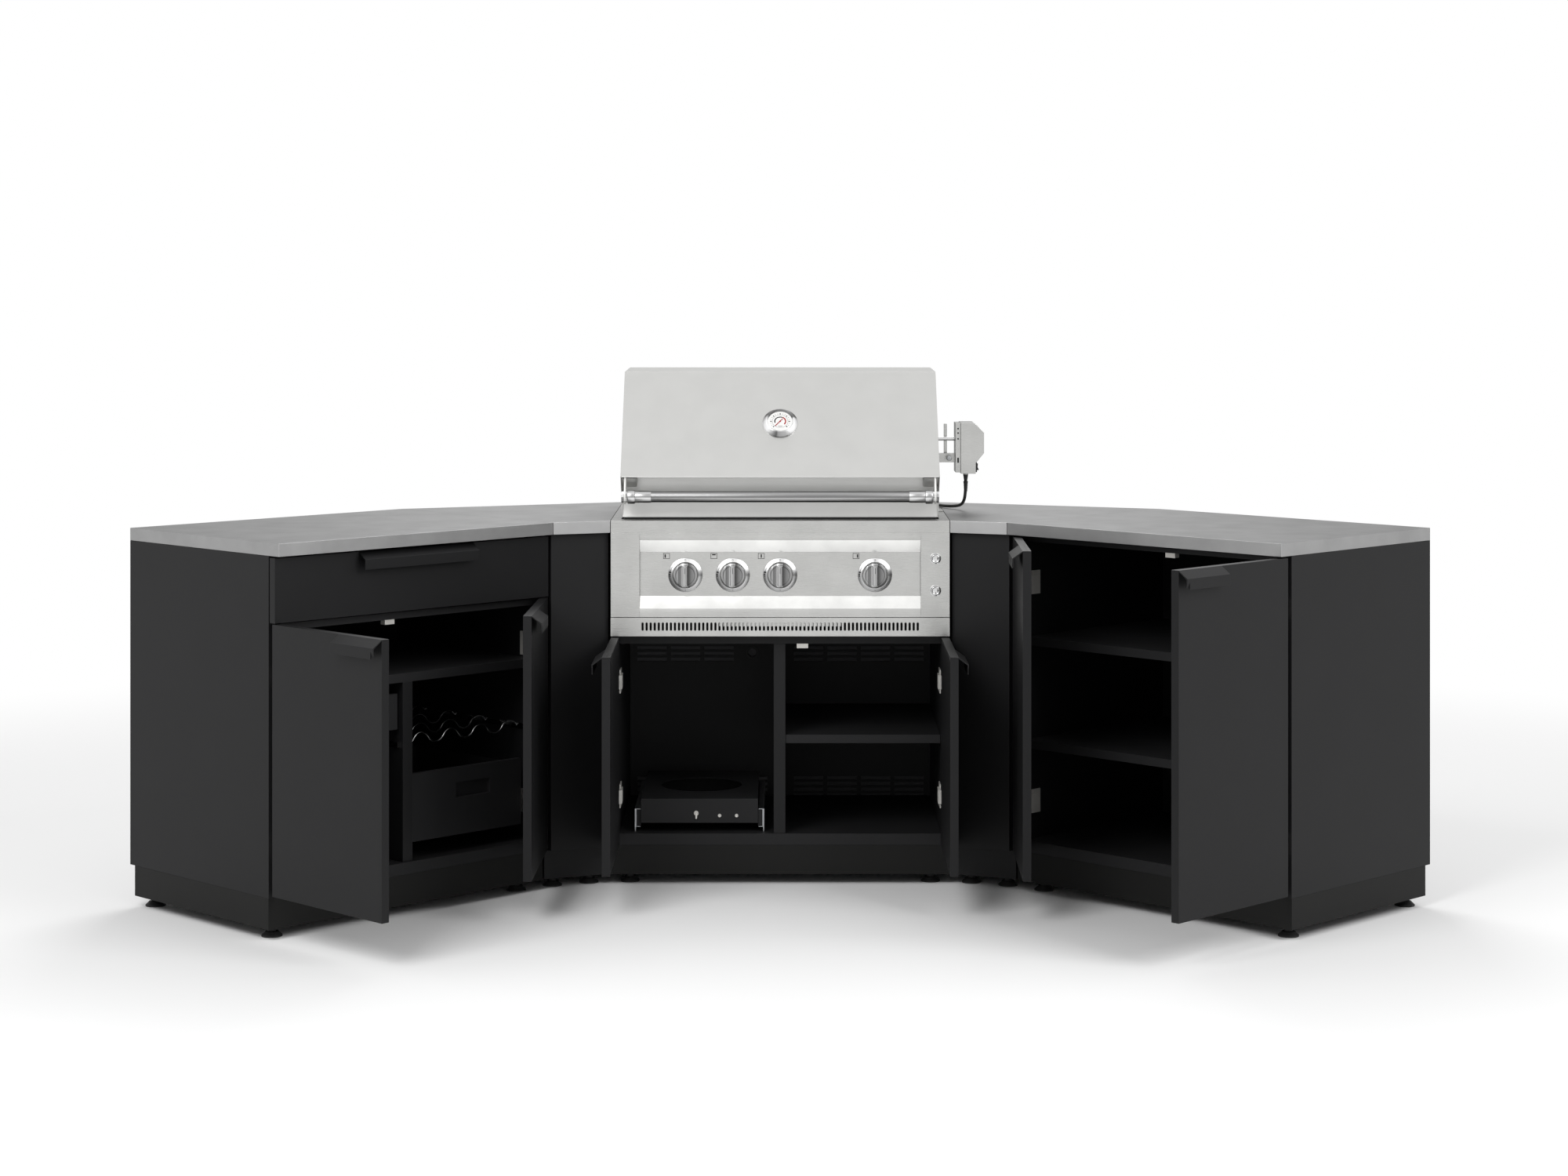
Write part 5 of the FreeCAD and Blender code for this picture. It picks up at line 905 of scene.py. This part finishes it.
# A dark rubber strip on the deck under the hood's front edge, put there as painted shade for the shadow line under
# the hood, and the bracket plate that shows behind the middle vent slots
shadow_strip = addBlock(-0.386, 0.386, rowShift + 0.0525, rowShift + 0.0565, 0.9024, 0.9066)
roundEdges(shadow_strip, 0.0008)
finishPiece(shadow_strip, "deck_shadow_strip", footRubber)
backing = addBlock(-0.156, 0.156, rowShift + 0.0080, rowShift + 0.0092, 0.6415, 0.6535)
roundEdges(backing, 0.0003)
finishPiece(backing, "vent_backing", grillSteel)
print("gasket and vent backing fitted")

# Rotisserie motor: the frame's case with rounded folds; its gland and switch frame are black
motor = foldedCopy("rotisserie_motor", 0.0008, 3)
motor.data.materials.append(casePlastic)
motorPlaces = {"exit": (0.478, 0.4535), "glandTop": 0.9905, "glandWide": 0.0095, "switchX": 0.4975,
               "switchY": (0.438, 0.469), "switchZ": (1.002, 1.028), "plateX": 452.5, "plateY": 415.5,
               "screwZ": (1114.3, 1103.1, 1088.4), "slotZ": (1.0276, 1.0406), "thumb": (0.430, 0.4263, 1.0390),
               "ring": (0.4990, 0.4535, 1.0150)}
exitX, exitY = motorPlaces["exit"]
for face in motor.data.polygons:
    c = face.center
    gland = c.z < motorPlaces["glandTop"] and math.hypot(c.x - exitX, c.y - exitY) < motorPlaces["glandWide"]
    switch = (c.x > motorPlaces["switchX"] and motorPlaces["switchZ"][0] < c.z < motorPlaces["switchZ"][1]
              and motorPlaces["switchY"][0] < c.y < motorPlaces["switchY"][1])
    if gland or switch:
        face.material_index = 1

# Three small screws and a slot on the edge of the motor's plate, and a thumb screw on its bracket
plateX, plateY = motorPlaces["plateX"], motorPlaces["plateY"]
dark = [screwHead(plateX, plateY, z, 0.0021) for z in motorPlaces["screwZ"]]
slotMark = addBlock((plateX - 2.2) * mm, (plateX + 2.2) * mm, plateY * mm - 0.0004, plateY * mm + 0.0002,
                    *motorPlaces["slotZ"])
roundEdges(slotMark, 0.0002, 2)
dark.append(slotMark)
finishPiece(joinPieces(dark), "motor_plate_screws", casePlastic)
thumb = turnedPart([(0, 0), (0.0045, 0), (0.0045, 0.003), (0.0062, 0.0038), (0.0066, 0.0052), (0.0066, 0.0094),
                    (0.0058, 0.0104), (0.0030, 0.0108), (0, 0.0108)], motorPlaces["thumb"], (0, -1, 0), steps=28)
finishPiece(thumb, "bracket_thumb_screw", zincPlate)

# Moulded ring round the rocker
cover = turnedPart([(0.0128, 0), (0.0135, 0.0006), (0.0135, 0.0024), (0.0126, 0.0034), (0.0116, 0.0030),
                    (0.0116, 0.0008), (0.0128, 0)], motorPlaces["ring"], (1, 0, 0), steps=36)
finishPiece(cover, "switch_ring", casePlastic)
print("motor finished")

# Grey sheet screens hang in the hollow back of the grill cabinet as painted shade, so that its vents and hose hole
# look dark
screen = {"half": 0.390, "y": (0.7488, 0.7500), "z": ((0.123, 0.205), (0.466, 0.540)), "rim": 0.004}
strips = []
for low, high in screen["z"]:
    strip = addBlock(-screen["half"], screen["half"], *screen["y"], low, high)
    editOn(strip)
    pickFaces(strip, lambda c, n: n.y < -0.9)
    bpy.ops.mesh.inset(thickness=screen["rim"])
    bpy.ops.transform.translate(value=(0, -0.0006, 0))
    editOff()
    roundEdges(strip, 0.0003, 2, 25)
    strips.append(strip)
finishPiece(joinPieces(strips), "vent_shade_screens", shadeScreenCoat)


# Screws and wing screw on the front of the gas bottle tray
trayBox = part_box("gas_bottle_tray")
trayFront = trayBox[0][1] / mm
heads = [screwHead(-150, trayFront + 0.2, 166, 0.0045), screwHead(-108, trayFront + 0.2, 166, 0.0045)]
heads.append(screwHead(-208, trayFront + 0.2, 172, 0.0062))
wing = turnedPart([(0, 0), (0.003, 0), (0.003, 0.012), (0.0022, 0.014), (0, 0.014)],
                  (-0.208, trayFront * mm, 0.172), (0, -0.3, -1), steps=20)
heads.append(wing)
finishPiece(joinPieces(heads), "tray_screws", nickelPlate, "gas_bottle_tray")

print("inside fitted")

# 1 for a ray that sees, in the camera, a mirror or a glass, and 0 for one that only lights
def seenRay(tree):
    path = addNode(tree, "ShaderNodeLightPath")
    seen = addNode(tree, "ShaderNodeMath", {0: path.outputs["Is Camera Ray"], 1: path.outputs["Is Glossy Ray"]},
                   operation="MAXIMUM")
    return addNode(tree, "ShaderNodeMath", {0: seen.outputs[0], 1: path.outputs["Is Transmission Ray"]},
                   operation="MAXIMUM").outputs[0]


# Floor: pale, and far from the island it fades to the white of the backdrop
floorSize = {"half": 14.0, "fadeStart": 2.6, "fadeEnd": 4.6}
deselectAll()
bpy.ops.mesh.primitive_plane_add(size=2 * floorSize["half"], location=(0, 0, 0))
floor = bpy.context.object
floor.name = "studioFloor"
floorPaint, tree, shader = newMaterial("matt white floor", "#f2f2f2", 0.0, 0.9)
shader.inputs["Specular IOR Level"].default_value = 0.1
place = addNode(tree, "ShaderNodeTexCoord")
reach = addNode(tree, "ShaderNodeVectorMath", {0: place.outputs["Object"]}, operation="LENGTH")
fade = addNode(tree, "ShaderNodeMapRange", {"Value": reach.outputs["Value"]}, interpolation_type="SMOOTHSTEP",
               From_Min=floorSize["fadeStart"], From_Max=floorSize["fadeEnd"])
amount = addNode(tree, "ShaderNodeMath", {0: fade.outputs["Result"], 1: seenRay(tree)}, operation="MULTIPLY")
glow = addNode(tree, "ShaderNodeEmission", Strength=1.0)
mixed = addNode(tree, "ShaderNodeMixShader", {0: amount.outputs[0], 1: shader.outputs["BSDF"],
                                              2: glow.outputs["Emission"]})
tree.links.new(mixed.outputs["Shader"], tree.nodes["Material Output"].inputs["Surface"])
floor.data.materials.append(floorPaint)

# World: white where it is seen, half as strong where it lights
world = bpy.data.worlds.new("studioAir")
bpy.context.scene.world = world
world.use_nodes = True
tree = world.node_tree
air = tree.nodes["Background"]
air.inputs["Color"].default_value = (1, 1, 1, 1)
level = addNode(tree, "ShaderNodeMapRange", {"Value": seenRay(tree)}, To_Min=0.55, To_Max=1.0)
tree.links.new(level.outputs["Result"], air.inputs["Strength"])

# Soft boxes: one large over the front left, one from the right, one high behind
softBoxes = [
    {"name": "keyBox", "at": (-2.6, -4.2, 4.4), "size": 3.0, "watts": 190},
    {"name": "rightBox", "at": (3.6, -3.0, 3.6), "size": 2.6, "watts": 110},
    {"name": "backBox", "at": (0.0, 3.6, 4.2), "size": 3.0, "watts": 90},
]
for box in softBoxes:
    lampData = bpy.data.lights.new(box["name"], "AREA")
    lampData.size = box["size"]
    lampData.energy = box["watts"]
    lamp = bpy.data.objects.new(box["name"], lampData)
    lamp.location = box["at"]
    aim = Vector((0, 0, 0.7)) - Vector(box["at"])
    lamp.rotation_euler = aim.to_track_quat("-Z", "Y").to_euler()
    bpy.context.scene.collection.objects.link(lamp)
print("studio lit")
